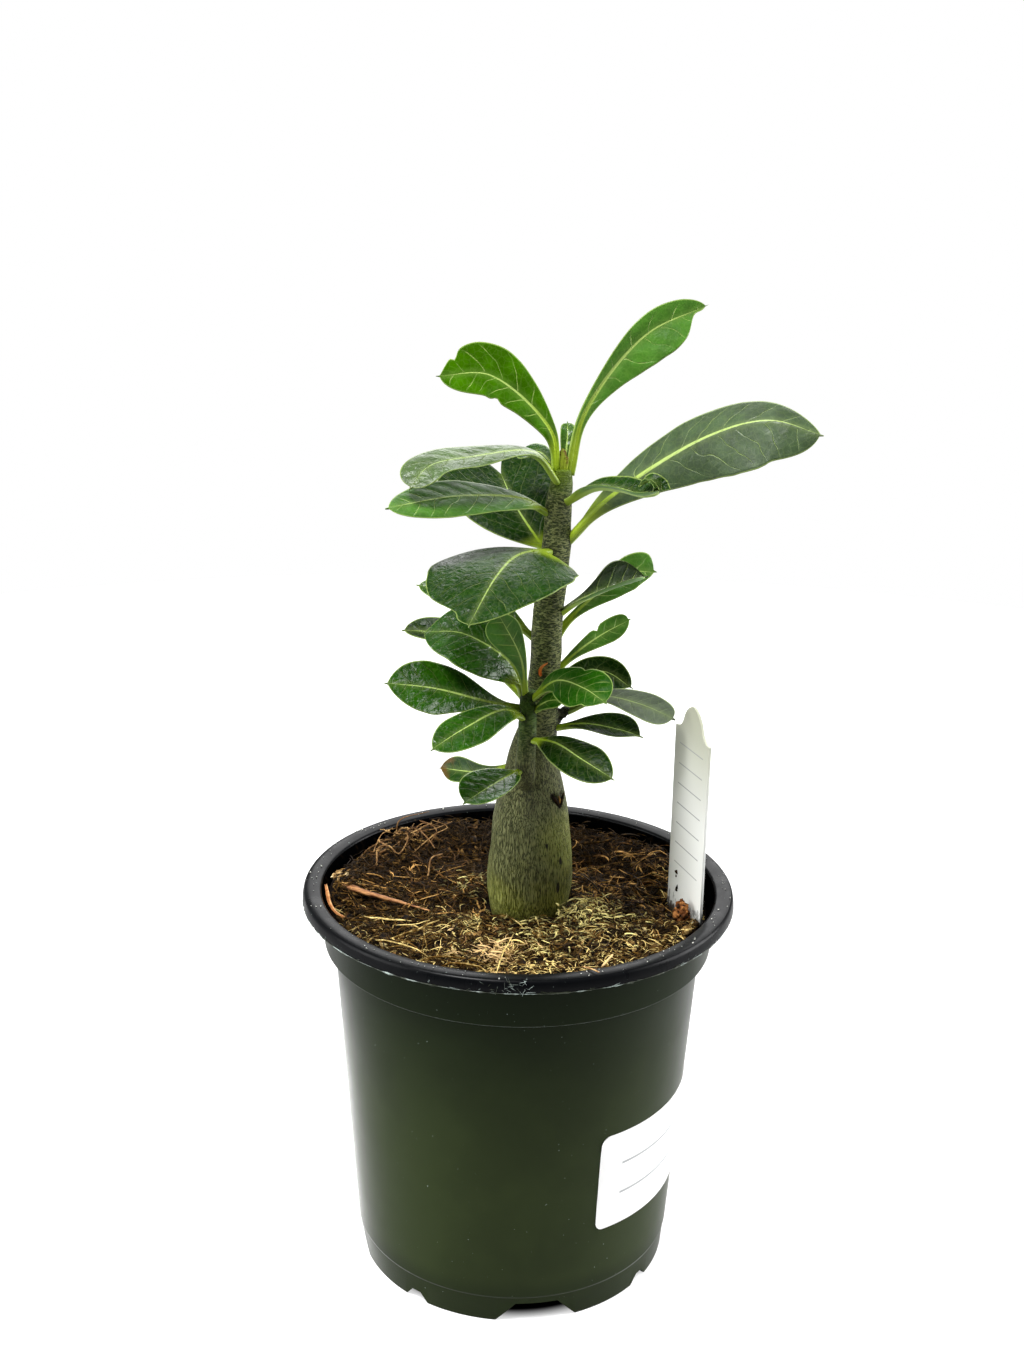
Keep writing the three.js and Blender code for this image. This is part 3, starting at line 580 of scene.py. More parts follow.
def crumb_piece(name, middles, sizes, rng, material, slot, *nodes, tones=None, rough=0.35):
    """Many small lumps as one piece, each with its own tone."""
    base, faces = ball(1)
    count = len(middles)
    stretch = rng.uniform(0.65, 1.25, (count, 1, 3))
    bumps = rng.uniform(1 - rough, 1 + rough, (count, len(base), 1))
    spin = rng.uniform(0, 2 * math.pi, count)
    cosine, sine = np.cos(spin)[:, None], np.sin(spin)[:, None]
    points = base[None] * stretch * bumps * np.asarray(sizes)[:, None, None]
    x = points[..., 0] * cosine - points[..., 1] * sine
    y = points[..., 0] * sine + points[..., 1] * cosine
    points = np.stack([x, y, points[..., 2]], -1) + np.asarray(middles)[:, None]
    starts = np.arange(count) * len(base)
    all_faces = (starts[:, None, None] + faces).reshape(-1, 3)
    tones = rng.uniform(0, 1, count) if tones is None else tones
    values = {"tone": np.repeat(tones, len(base))}
    seat(make_piece(name, placed(points.reshape(-1, 3)), all_faces, [material], values), slot, *nodes)


# Materials
class Nodes:
    """Short calls for the nodes of one tree."""

    def __init__(self, tree):
        self.tree = tree

    def put(self, socket, value):
        if isinstance(value, bpy.types.NodeSocket):
            self.tree.links.new(value, socket)
        elif socket.type == "RGBA" and len(value) == 3:
            socket.default_value = (*value, 1)
        else:
            socket.default_value = value

    def add(self, kind, inputs, **settings):
        item = self.tree.nodes.new(kind)
        for key, value in settings.items():
            setattr(item, key, value)
        for key, value in inputs.items():
            self.put(item.inputs[key], value)
        return item.outputs

    def math(self, operation, first, second=0.5, clamp=False):
        return self.add("ShaderNodeMath", {0: first, 1: second}, operation=operation, use_clamp=clamp)[0]

    def times(self, first, second):
        return self.math("MULTIPLY", first, second)

    def away(self, first, second):
        """How far apart the two are."""
        return self.math("ABSOLUTE", self.math("SUBTRACT", first, second))

    def span(self, value, low, high, start=0.0, end=1.0):
        """A smooth step from start to end while the value goes from low to high."""
        inputs = {"Value": value, "From Min": low, "From Max": high, "To Min": start, "To Max": end}
        return self.add("ShaderNodeMapRange", inputs, interpolation_type="SMOOTHSTEP")[0]


class Finish(Nodes):
    """A material with short calls for the nodes that these finishes are made of."""

    def __init__(self, name, **surface):
        self.material = bpy.data.materials.new(name)
        self.material.use_nodes = True
        super().__init__(self.material.node_tree)
        self.surface = self.tree.nodes["Principled BSDF"]
        self.set(**surface)
        self.place = self.add("ShaderNodeTexCoord", {})["Object"]

    def set(self, **surface):
        for key, value in surface.items():
            self.put(self.surface.inputs[key.replace("_", " ")], value)

    def stretched(self, stretch):
        return self.add("ShaderNodeVectorMath", {0: self.place, 1: stretch}, operation="MULTIPLY")[0]

    def noise(self, scale, detail=2, stretch=(1, 1, 1), roughness=0.5, warp=0.0):
        inputs = {"Vector": self.stretched(stretch), "Scale": scale, "Detail": detail}
        return self.add("ShaderNodeTexNoise", {**inputs, "Roughness": roughness, "Distortion": warp})[0]

    def cells(self, scale, feature="DISTANCE_TO_EDGE", stretch=(1, 1, 1)):
        inputs = {"Vector": self.stretched(stretch), "Scale": scale}
        return self.add("ShaderNodeTexVoronoi", inputs, feature=feature)["Distance"]

    def mix(self, share, first, second):
        return self.add("ShaderNodeMix", {0: share, 6: first, 7: second}, data_type="RGBA")[2]

    def value(self, name):
        """A number that the mesh holds at its points."""
        return self.add("ShaderNodeAttribute", {}, attribute_name=name)["Fac"]

    def parts(self, name):
        """The three numbers that the mesh holds at its points."""
        vector = self.add("ShaderNodeAttribute", {}, attribute_name=name)["Vector"]
        return self.add("ShaderNodeSeparateXYZ", {0: vector})

    def height(self):
        return self.add("ShaderNodeSeparateXYZ", {0: self.place})[2]

    def roughen(self, noise, low, high):
        """Roughness that wanders between the two with the noise."""
        self.set(Roughness=self.span(noise, 0.3, 0.7, low, high))

    def bump(self, height, distance, strength=1.0):
        inputs = {"Height": height, "Distance": distance, "Strength": strength}
        self.set(Normal=self.add("ShaderNodeBump", inputs)["Normal"])


def toned(colour, share):
    """The colour made darker by the share, or lighter where that is over 1."""
    return tuple(c * share for c in colour)


def dusted(finish, pot, colour, rare, full):
    """The colour with pale specks of dust where fine noise is above those levels."""
    dust = finish.times(finish.span(finish.noise(1500, 1), rare, full), 0.5)
    return finish.mix(dust, colour, pot.flash)


def inside_finish(pot):
    """Plastic of the inside, darkened to near black as painted shade, and dulled by soil."""
    finish = Finish("inside_plastic", Specular_IOR_Level=0)
    dirt = finish.span(finish.noise(500, 4), 0.55, 0.75, 0, 0.5)
    # The rim's charcoal at 0.15 is painted shade inside the pot; the brown noise over it is soil
    finish.set(Base_Color=finish.mix(dirt, toned(pot.rim_plastic, 0.15), srgb(24, 17, 10)))
    finish.roughen(finish.noise(160, 3), 0.35, 0.5)
    return finish.material


def rim_finish(pot):
    """Glossier charcoal plastic of the rim, with specks of dust."""
    finish = Finish("rim_plastic", Specular_IOR_Level=0.075)
    finish.set(Base_Color=dusted(finish, pot, pot.rim_plastic, 0.76, 0.8))
    finish.roughen(finish.noise(160, 4, (1, 1, 0.35)), 0.24, 0.36)
    finish.bump(finish.noise(1800, 2), 0.00003, 0.5)
    return finish.material


def wall_finish(pot, name, sheen):
    """Satin olive plastic of the wall, with painted shade towards the rim and just above the foot, and a
    painted pale highlight along the collar's step.
    """
    finish = Finish(name, Specular_IOR_Level=0.06, Sheen_Weight=sheen, Sheen_Roughness=0.25)
    broad = finish.span(finish.noise(45, 3), 0.35, 0.65)
    wall = finish.mix(broad, toned(pot.plastic, 0.86), toned(pot.plastic, 1.04))
    height = finish.height()
    # Painted shade: darker up towards the rim, which shades the upper wall and collar, and just above the
    # foot, near the floor
    high = finish.span(height, pot.collar_low * 0.45, pot.height, 0, 0.95)
    low = finish.span(height, pot.foot_height, pot.foot_height + 0.006, 0.35, 0)
    wall = finish.mix(finish.math("ADD", high, low), wall, srgb(12, 22, 6))
    # A painted pale highlight along the collar's step, in the flash colour
    off_step = finish.away(height, pot.collar_low + 0.0004)
    painted_step_highlight = finish.times(finish.span(off_step, 0.0002, 0.0005, 0.7, 0), finish.noise(120, 2))
    wall = finish.mix(painted_step_highlight, wall, pot.flash)
    finish.set(Base_Color=dusted(finish, pot, wall, 0.79, 0.82))
    finish.roughen(finish.noise(70, 2), 0.3, 0.38)
    finish.bump(finish.noise(2600, 2), 0.00003, 0.5)
    return finish.material


def flash_finish(pot):
    """Torn plastic, whitish in patches."""
    finish = Finish("mould_flash", Roughness=0.5)
    patches = finish.span(finish.noise(260, 3), 0.44, 0.66)
    finish.set(Base_Color=finish.mix(patches, toned(pot.plastic, 0.6), pot.flash))
    return finish.material


def label_finish(pot):
    """Coated white paper with two plain ruled lines."""
    finish = Finish("label_paper", Roughness=0.5)
    across, up, _ = finish.parts("sheet")
    off_line = finish.away(finish.math("ABSOLUTE", up), 0.16)
    inside = finish.span(finish.math("ABSOLUTE", across), 0.39, 0.4, 1, 0)
    ruled = finish.times(finish.span(off_line, 0.008, 0.014, 1, 0), inside)
    paper = finish.mix(finish.noise(300, 3), toned(pot.label_paper, 0.96), pot.label_paper)
    finish.set(Base_Color=finish.mix(ruled, paper, srgb(168, 170, 172)))
    finish.bump(finish.noise(3000, 3), 0.00002, 0.5)
    return finish.material


def tag_finish(tag):
    """Matt white plastic with plain ruled lines, greyer towards its top as painted shade, and soil smears at
    its foot.
    """
    finish = Finish("tag_plastic", Roughness=0.42)
    across, up, face = finish.parts("sheet")
    row = finish.math("FRACT", finish.math("DIVIDE", up, 5.5))
    line = finish.span(finish.away(row, 0.5), 0.018, 0.035, 1, 0)
    inside = finish.span(finish.math("ABSOLUTE", across), 0.34, 0.35, 1, 0)
    rows = finish.times(finish.span(up, 112, 113), finish.span(up, 147, 148, 1, 0))
    ruled = finish.times(finish.times(line, inside), finish.times(rows, face))
    # Painted shade: the white greys towards the tag's top, down to the Tag colour
    plastic = finish.mix(finish.span(up, 125, 157), srgb(226, 228, 224), tag.plastic)
    plain = finish.mix(ruled, plastic, srgb(150, 154, 152))
    low = finish.span(up, 97, 112, 1, 0)
    blots = finish.noise(520, 4, (1, 1, 0.6), 0.65)
    dirt = finish.span(finish.math("ADD", blots, finish.times(low, 0.3)), 0.71, 0.78)
    finish.set(Base_Color=finish.mix(finish.times(dirt, low), plain, srgb(40, 26, 16)))
    finish.bump(finish.noise(900, 3), 0.00003, 0.5)
    return finish.material


def bark_finish(plant):
    """Living skin: upright streaks on the caudex, level wrinkles on the stem, green near the soil, with
    painted patches of light on the caudex and painted shade at the neck, in the crotch, under the branch and
    round the leaves' feet.
    """
    finish = Finish("bark", Roughness=0.5, Specular_IOR_Level=0.18)
    mix, span, times = finish.mix, finish.span, finish.times
    height = finish.height()
    turns = [edge * MM for edge in SKIN_TURNS]
    upper = span(height, *turns)
    streaks = span(finish.away(finish.noise(3300, 2, (1, 1, 0.08), 0.5, 0.2), 0.5), 0, 0.11)
    wrinkles = span(finish.noise(2100, 2, (0.45, 0.45, 1.35), 0.6, 0.8), 0.36, 0.58)
    texture = finish.add("ShaderNodeMix", {0: upper, 2: streaks, 3: wrinkles}, data_type="FLOAT")[0]

    # The broad colours from the soil up, with painted patches of light and a painted band of shade at the
    # neck
    patches = span(finish.noise(85, 3), 0.35, 0.68)
    caudex = mix(patches, toned(plant.grey_bark, 0.72), plant.grey_bark)
    stem = mix(patches, toned(plant.stem_bark, 0.75), plant.stem_bark)
    skin = mix(upper, caudex, stem)
    foot = span(finish.math("ADD", height, times(patches, 0.008)), 0.102, 0.121, 0.95, 0)
    skin = mix(foot, skin, plant.green_bark)
    # Painted light: pale yellow-green patches on the caudex's upper right and lower left
    skin = mix(finish.value("pale"), skin, srgb(156, 164, 76))
    # Painted shade: a dark band round the neck, where the front branch and the low leaves shade it
    neck = times(span(height, 0.124, 0.14), span(height, 0.15, 0.162, 0.4, 0.15))
    skin = mix(neck, skin, srgb(30, 34, 14))

    # Dark furrows and light ridges of the texture
    share = span(height, *turns, 1, 0.9)
    deep = times(span(texture, 0, 0.6, 0.8, 0), share)
    skin = mix(deep, skin, srgb(28, 32, 12))
    light = times(span(texture, 0.6, 1, 0, 0.34), share)
    skin = mix(light, skin, srgb(170, 172, 116))

    # Young green skin, pores, the marks of lost leaves, the dark stub, and painted shade in the crotch, under
    # the branch and round the leaves' feet
    skin = mix(finish.value("green"), skin, srgb(48, 78, 4))
    skin = mix(span(height, 0.209, 0.216, 0, 0.85), skin, srgb(92, 112, 20))
    pores = span(finish.cells(230, "F1", (1, 1, 0.4)), 0.11, 0.17, 0.95, 0)
    rare = span(finish.noise(130, 1), 0.48, 0.54)
    skin = mix(times(pores, rare), skin, srgb(26, 22, 10))
    skin = mix(finish.value("scar"), skin, srgb(44, 30, 14))
    # The dark value: the stub's dark rough skin, with painted shade in the crotch, under the branch and round
    # the leaves' feet
    skin = mix(finish.value("dark"), skin, srgb(22, 22, 10))
    finish.set(Base_Color=skin)
    finish.bump(texture, 0.0003, 1)
    return finish.material


def leaf_finish(plant, name, look):
    """A waxy blade with a pale midrib, veins and margins, running into a yellow-green stalk."""
    blade = toned(getattr(plant, look.colour), look.bright)
    stalk = toned(plant.stalk, look.stalk)
    finish = Finish(name, Specular_IOR_Level=look.shine)
    mix, span, times = finish.mix, finish.span, finish.times
    phase, across, share = finish.parts("blade")
    edge, gap, tone = finish.parts("margin")

    # Side veins, the net between them, the midrib and the pale margin
    swayed = finish.math("ADD", phase, span(finish.noise(150, 1), 0.25, 0.75, -0.18, 0.18))
    line = times(finish.away(finish.math("FRACT", swayed), 0.5), gap)
    fades = times(span(edge, 0.2, 2.4), span(share, 0.9, 1, 1, 0.1))
    veins = times(span(line, 0.04, 0.24, 1, 0), fades)
    fork = span(finish.noise(330, 3), 0.4, 0.62)
    veins = times(veins, finish.math("ADD", fork, 0.35, clamp=True))
    net = span(finish.cells(620), 0.02, 0.09, 1, 0)
    rib_width = times(span(share, 0, 1, 0.12, 0.022), gap)
    rib = span(finish.math("DIVIDE", across, rib_width), 0.55, 1, 1, 0)
    rib = times(rib, span(share, 0.82, 0.99, 1, 0.2))
    rim = span(edge, 0.14, 0.36, 1, 0)

    # The blade's colour from the mottled ground to the margin
    mottle = span(finish.noise(190, 4), 0.32, 0.68)
    base = mix(mottle, toned(blade, 0.72), toned(blade, 1.18))
    base = mix(times(tone, 0.35), base, toned(blade, 0.55))
    near_rib = span(finish.math("SUBTRACT", across, rib_width), 0, 1.6, 0.16, 0)
    base = mix(near_rib, base, toned(plant.vein, 0.5))
    base = mix(times(net, 0.04), base, plant.vein)
    base = mix(times(veins, look.veined), base, plant.vein)
    base = mix(span(share, 0, 0.16, 0.92, 0), base, stalk)
    rib_tint = mix(span(share, 0.05, 0.5), toned(stalk, 1.15), plant.vein)
    base = mix(times(rib, look.ribbed), base, rib_tint)
    base = mix(times(rim, 0.55), base, toned(plant.vein, 0.8))
    if look.scorched:
        burnt = finish.math("ADD", share, times(finish.noise(330, 4), 0.7))
        base = mix(span(burnt, 1.14, 1.34, 0, 0.8), base, srgb(84, 54, 14))
    finish.set(Base_Color=base)

    finish.roughen(finish.noise(420, 3), look.rough - 0.06, look.rough + 0.08)
    relief = finish.math("SUBTRACT", times(finish.noise(480, 4, warp=0.7), 1.2), veins)
    finish.bump(relief, look.wrinkled, 0.8)
    return finish.material


def underside_finish(plant, name, colour):
    """The paler, duller lower face of a blade, with its midrib."""
    finish = Finish(name, Roughness=0.55)
    _, across, share = finish.parts("blade")
    base = finish.mix(finish.noise(200, 3), toned(colour, 0.85), toned(colour, 1.15))
    base = finish.mix(finish.span(across, 0.8, 1.5, 0.75, 0), base, plant.vein)
    finish.set(Base_Color=finish.mix(finish.span(share, 0, 0.25, 0.9, 0), base, plant.stalk))
    finish.bump(finish.noise(700, 3), 0.0001, 0.5)
    return finish.material


def strand_finish(name, dark, mid, light):
    """Coir, roots and crumbs: each has its own tone, with darker and lighter stretches."""
    finish = Finish(name, Roughness=0.7, Specular_IOR_Level=0.12)
    tone = finish.math("ADD", finish.value("tone"), finish.span(finish.noise(700, 3), 0.3, 0.7, -0.22, 0.22))
    colour = finish.mix(finish.span(tone, 0, 0.5), dark, mid)
    finish.set(Base_Color=finish.mix(finish.span(tone, 0.5, 1), colour, light))
    finish.bump(finish.noise(4000, 2), 0.0001, 0.5)
    return finish.material


def peat_finish(soil):
    """Dark lumpy bed that shows between the fibres."""
    finish = Finish("peat", Roughness=0.95, Specular_IOR_Level=0.15)
    lumps = finish.span(finish.noise(420, 6, roughness=0.65), 0.3, 0.7)
    finish.set(Base_Color=finish.mix(lumps, toned(soil.peat, 0.15), toned(soil.peat, 1.2)))
    finish.bump(finish.noise(1500, 5, roughness=0.7), 0.0008)
    return finish.material


def wood_finish(name, dark, light):
    """Dry wood with its lines along X."""
    finish = Finish(name, Roughness=0.75)
    lines = finish.noise(900, 4, (0.25, 1, 1), 0.6)
    finish.set(Base_Color=finish.mix(finish.span(lines, 0.35, 0.65), dark, light))
    finish.bump(lines, 0.0002)
    return finish.material


# Pot
def pot_profile(pot):
    """Corners of the moulded wall's section as radius, height and rounding, from the foot's inside."""
    rim, top, mouth = in_mm(pot, "rim_radius", "height", "mouth_radius")
    collar, step, wall = in_mm(pot, "collar_radius", "collar_low", "wall")
    high, low, foot, rise = in_mm(pot, "wall_top_radius", "wall_low_radius", "foot_radius", "foot_height")
    skirt = top - SKIRT_DEPTH
    outside = [
        (foot - wall, 0, 0.25), (foot, 0, 0.4), (foot + 0.6, rise - 0.8), (foot + 0.66, rise - 0.5, 0.15),
        (low, rise, 0.3), (high, step, 0.35), (collar, step + 0.7, 0.5),
    ]
    lip = [
        (collar + 0.6, skirt + 1.4, 0.5), (rim - 1.5, skirt + 1.2, 0.4), (rim - 1.1, skirt, 0.35),
        (rim - 0.1, skirt, 0.4), (rim, top - 2.6, 0.6), (rim - 0.4, top - 0.4, 0.9), (rim - 2, top, 1.2),
        (mouth + 0.6, top - 0.5, 0.5), (mouth, top - 1.5, 0.5),
    ]
    inside = [
        (collar - wall, top - 4.2, 0.8), (collar - wall, step + wall + 0.8, 0.5),
        (high - wall, step + wall, 0.3), (low - wall, BASE_LIFT + wall, 1.2), (0, BASE_LIFT + wall),
    ]
    return [*outside, *lip, *inside, (0, BASE_LIFT), (foot - wall, BASE_LIFT, 0.4)]


def notch_cutter(notch, foot, turn):
    """Points and faces of the block that cuts one notch through the foot ring."""
    low, high, height = notch.low / 2, notch.high / 2, notch.height
    outline = [(-low - 0.6, -1), (low + 0.6, -1), (low, 0.2), (high, height), (-high, height), (-low, 0.2)]
    front = [(x, -foot - 2, z) for x, z in outline]
    back = [(x, -foot + 6, z) for x, z in outline]
    spin = Matrix.Rotation(turn, 3, "Z")
    points = [tuple(spin @ Vector(p)) for p in front + back]
    count = len(outline)
    sides = [[i, i + count, (i + 1) % count + count, (i + 1) % count] for i in range(count)]
    return points, [list(range(count)), list(range(2 * count - 1, count - 1, -1)), *sides]


def drain_cutter(turn):
    """Points and faces of the rod that cuts one drain hole through the base panel."""
    middle = np.array([DRAIN_RING * math.cos(turn), DRAIN_RING * math.sin(turn), 0])
    ring = circle(24) * DRAIN_RADIUS + middle
    return capped_loft([ring + [0, 0, BASE_LIFT - 2], ring + [0, 0, BASE_LIFT + 3]])


def cut_pot(piece, foot):
    """Cuts the notches and the drain holes."""
    bodies = [
        notch_cutter(notch, foot, math.radians(notch.turn + i * 360 / NOTCHES))
        for notch in (NOTCH_LARGE, NOTCH_SMALL)
        for i in range(NOTCHES)
    ]
    first = math.radians(NOTCH_LARGE.turn - 90)
    bodies += [drain_cutter(first + i * math.pi / NOTCHES) for i in range(2 * NOTCHES)]
    points, faces = joined(bodies)
    cutter = make_piece("foot_cutter", placed(points), faces, [])
    with_modifier(piece, "BOOLEAN", operation="DIFFERENCE", object=cutter, solver="EXACT")
    bpy.data.objects.remove(cutter)


class DESERT_ROSE_OT_pot(bpy.types.Operator):
    """Moulded pot with its rolled rim, collar, notched foot, drain holes and mould flash"""

    bl_idname = "desert_rose.pot"
    bl_label = "Nursery pot"

    def execute(self, context):
        pot = context.scene.desert_rose_pot
        self.shell(pot)
        self.flash(pot)
        self.dust(pot)
        self.burrs(pot)
        return {"FINISHED"}

    def shell(self, pot):
        """The pot itself, with a finish for each face by where it lies."""
        materials = [
            wall_finish(pot, "wall_plastic", 0.72), rim_finish(pot), inside_finish(pot),
            wall_finish(pot, "collar_plastic", 0.14),
        ]
        on_wall, on_rim, on_inside, on_collar = range(4)
        profile = rounded(pot_profile(pot))
        loops = np.array([circle(POT_SEGMENTS) * radius + [0, 0, z] for radius, z in profile])
        faces = ring_faces(len(profile), POT_SEGMENTS)
        piece = make_piece("pot_shell", placed(loops.reshape(-1, 3)), faces, materials)
        with_modifier(piece, "WELD", merge_threshold=1e-6)
        cut_pot(piece, pot.foot_radius / MM)
        top, foot, wall, step = in_mm(pot, "height", "foot_height", "wall", "collar_low")
        for face in piece.data.polygons:
            x, y, height = (np.array(face.center) - AXIS) / MM
            inwards = face.normal.x * x + face.normal.y * y < 0
            if inwards and foot - wall < height < top - 1:
                face.material_index = on_inside
            elif height > top - SKIRT_DEPTH - 0.1:
                face.material_index = on_rim
            else:
                face.material_index = on_collar if height > step + 0.3 else on_wall
            face.use_smooth = True
        piece.data.set_sharp_from_angle(angle=math.radians(28))
        seat(piece, "pot_plastic", "nursery_pot")

    def flash(self, pot):
        """The thin torn edge along the lower lip of the rim."""
        rim, top = in_mm(pot, "rim_radius", "height")
        ring, sides = circle(900), 5
        torn = grain(ring * 60, 1.1, 4.0, 2)
        centre = ring * (rim - 0.1 + 0.12 * torn)[:, None] + [0, 0, top - SKIRT_DEPTH + 0.1]
        radius = np.clip(0.07 + 0.14 * grain(ring * 60, 2.6, 9.0, 2), 0.025, 0.25)
        loops = []
        for turn in np.arange(sides) * 2 * math.pi / sides:
            out = ring * (math.cos(turn) * radius)[:, None]
            loops.append(centre + out + np.outer(math.sin(turn) * radius * 1.6, [0, 0, 1]))
        points = np.array(loops).transpose(1, 0, 2).reshape(-1, 3)
        piece = make_piece("rim_flash", placed(points), ring_faces(len(ring), sides), [flash_finish(pot)])
        seat(piece, "pot_plastic")

    def burrs(self, pot):
        """Whitish scratches at the front of the rim, and torn threads along its lip."""
        rng = np.random.default_rng(6)
        rim, top = in_mm(pot, "rim_radius", "height")
        scratches, threads, steps = 30, 90, 5
        turn = [*rng.normal(math.radians(-93), 0.06, scratches), *rng.uniform(0, 2 * math.pi, threads)]
        below = [*rng.uniform(0.5, 3.3, scratches), *rng.uniform(2.9, 3.6, threads)]
        slope = [*rng.normal(0, 0.8, scratches), *rng.normal(0, 0.25, threads)]
        length = rng.uniform(0.5, 2.4, scratches + threads)[:, None] * np.linspace(-0.5, 0.5, steps)
        turn = np.array(turn)[:, None] + length * np.cos(slope)[:, None] / rim
        height = top - np.array(below)[:, None] + length * np.sin(slope)[:, None]
        levels = [top - SKIRT_DEPTH - 0.1, top - 2.6, top - 0.4, top]
        out = np.interp(height, levels, [rim - 0.1, rim, rim - 0.4, rim - 2]) + 0.04
        centres = np.dstack([out * np.cos(turn), out * np.sin(turn), height])
        radii = rng.uniform(0.03, 0.075, (len(turn), 1)) * np.array([0.5, 1, 1, 0.8, 0.4])
        strand_piece("rim_burrs", centres, radii, 3, flash_finish(pot), "pot_plastic")

    def dust(self, pot):
        """Pale crumbs of dry soil and plastic on the rim."""
        rng = np.random.default_rng(5)
        rim, top = in_mm(pot, "rim_radius", "height")
        count = 130
        turn = rng.uniform(0, 2 * math.pi, count)
        radius = rng.uniform(rim - 3.6, rim - 0.9, count)
        middles = np.stack([radius * np.cos(turn), radius * np.sin(turn), np.full(count, top - 0.02)], 1)
        sizes = rng.uniform(0.07, 0.2, count)
        material = strand_finish("pale_dust", srgb(120, 124, 118), srgb(188, 190, 182), srgb(226, 226, 216))
        crumb_piece("rim_dust", middles, sizes, rng, material, "pot_plastic")


class DESERT_ROSE_OT_label(bpy.types.Operator):
    """Blank white sticker with rounded corners that follows the wall's taper"""

    bl_idname = "desert_rose.label"
    bl_label = "Pot label"

    def execute(self, context):
        pot = context.scene.desert_rose_pot
        width, height = in_mm(pot, "label_width", "label_height")
        outer, sheet = [], []
        columns, rows = 90, 24
        for i in range(columns + 1):
            along = width * (1 - math.cos(math.pi * i / columns)) / 2
            from_end = min(along, width - along, LABEL_CORNER)
            half = height / 2 - LABEL_CORNER + math.sqrt(LABEL_CORNER**2 - (LABEL_CORNER - from_end) ** 2)
            turn = math.radians(LABEL_START - 90) + along / self.wall_at(pot, LABEL_MIDDLE)
            for j in range(rows + 1):
                up = half * (2 * j / rows - 1)
                lift = 0.14 + 0.16 * max(0, 1 - from_end / LABEL_CORNER) * abs(up / half) ** 6
                radius = self.wall_at(pot, LABEL_MIDDLE + up) + lift
                outer.append((radius * math.cos(turn), radius * math.sin(turn), LABEL_MIDDLE + up))
                sheet.append((along / width - 0.5, up / height, 1))
        outer = np.array(outer)
        inner = outer - unit(outer * [1, 1, 0]) * 0.12
        count = len(outer)
        front = grid_faces(columns + 1, rows + 1, closed=False)
        edge = [*range(rows)]
        edge += [i * (rows + 1) + rows for i in range(columns)]
        edge += [columns * (rows + 1) + rows - j for j in range(rows)]
        edge += [(columns - i) * (rows + 1) for i in range(columns)]
        around = [[a + count, b + count, b, a] for a, b in zip(edge, edge[1:] + edge[:1])]
        faces = [*front, *(front[:, ::-1] + count), *around]
        points = placed(np.concatenate([outer, inner]))
        piece = make_piece("blank_label", points, faces, [label_finish(pot)], {"sheet": sheet * 2}, angle=40)
        seat(piece, "label_paper", "pot_label")
        return {"FINISHED"}

    def wall_at(self, pot, height):
        """The wall's outer radius at that height."""
        high, low, step, rise = in_mm(pot, "wall_top_radius", "wall_low_radius", "collar_low", "foot_height")
        return low + (high - low) * (height - rise) / (step - rise)


# Stems
def stem_loops(rings, sides):
    """Rings of points up a stem, smoothed between the given ones."""
    table = np.array(rings, float)
    way, length = smooth_path(table[:, :3], 200)
    steps = max(4, int(length / RING_STEP))
    middles = read_off(way, np.linspace(0, 1, len(way)), np.linspace(0, 1, steps + 1))
    # The radii are smoothed as a path over the height, drawn out fourfold
    radii_path, _ = smooth_path(np.stack([table[:, 2], table[:, 3] * 4, table[:, 0] * 0], 1), 400)
    radii = np.interp(middles[:, 2], radii_path[:, 0], radii_path[:, 1] / 4)
    return middles[:, None] + circle(sides)[None] * radii[:, None, None]


def ring_at(stem, height):
    """Middle and radius of a stem at that height."""
    table = np.array(STEMS[stem], float)
    return [float(np.interp(height, table[:, 2], table[:, k])) for k in (0, 1, 3)]


def near_line(points, start, end):
    """Distance of each point from the straight line between two others."""
    start, end = np.array(start, float), np.array(end, float)
    way = end - start
    share = np.clip((points - start) @ way / (way @ way), 0, 1)
    return np.linalg.norm(points - start - share[:, None] * way, axis=1)


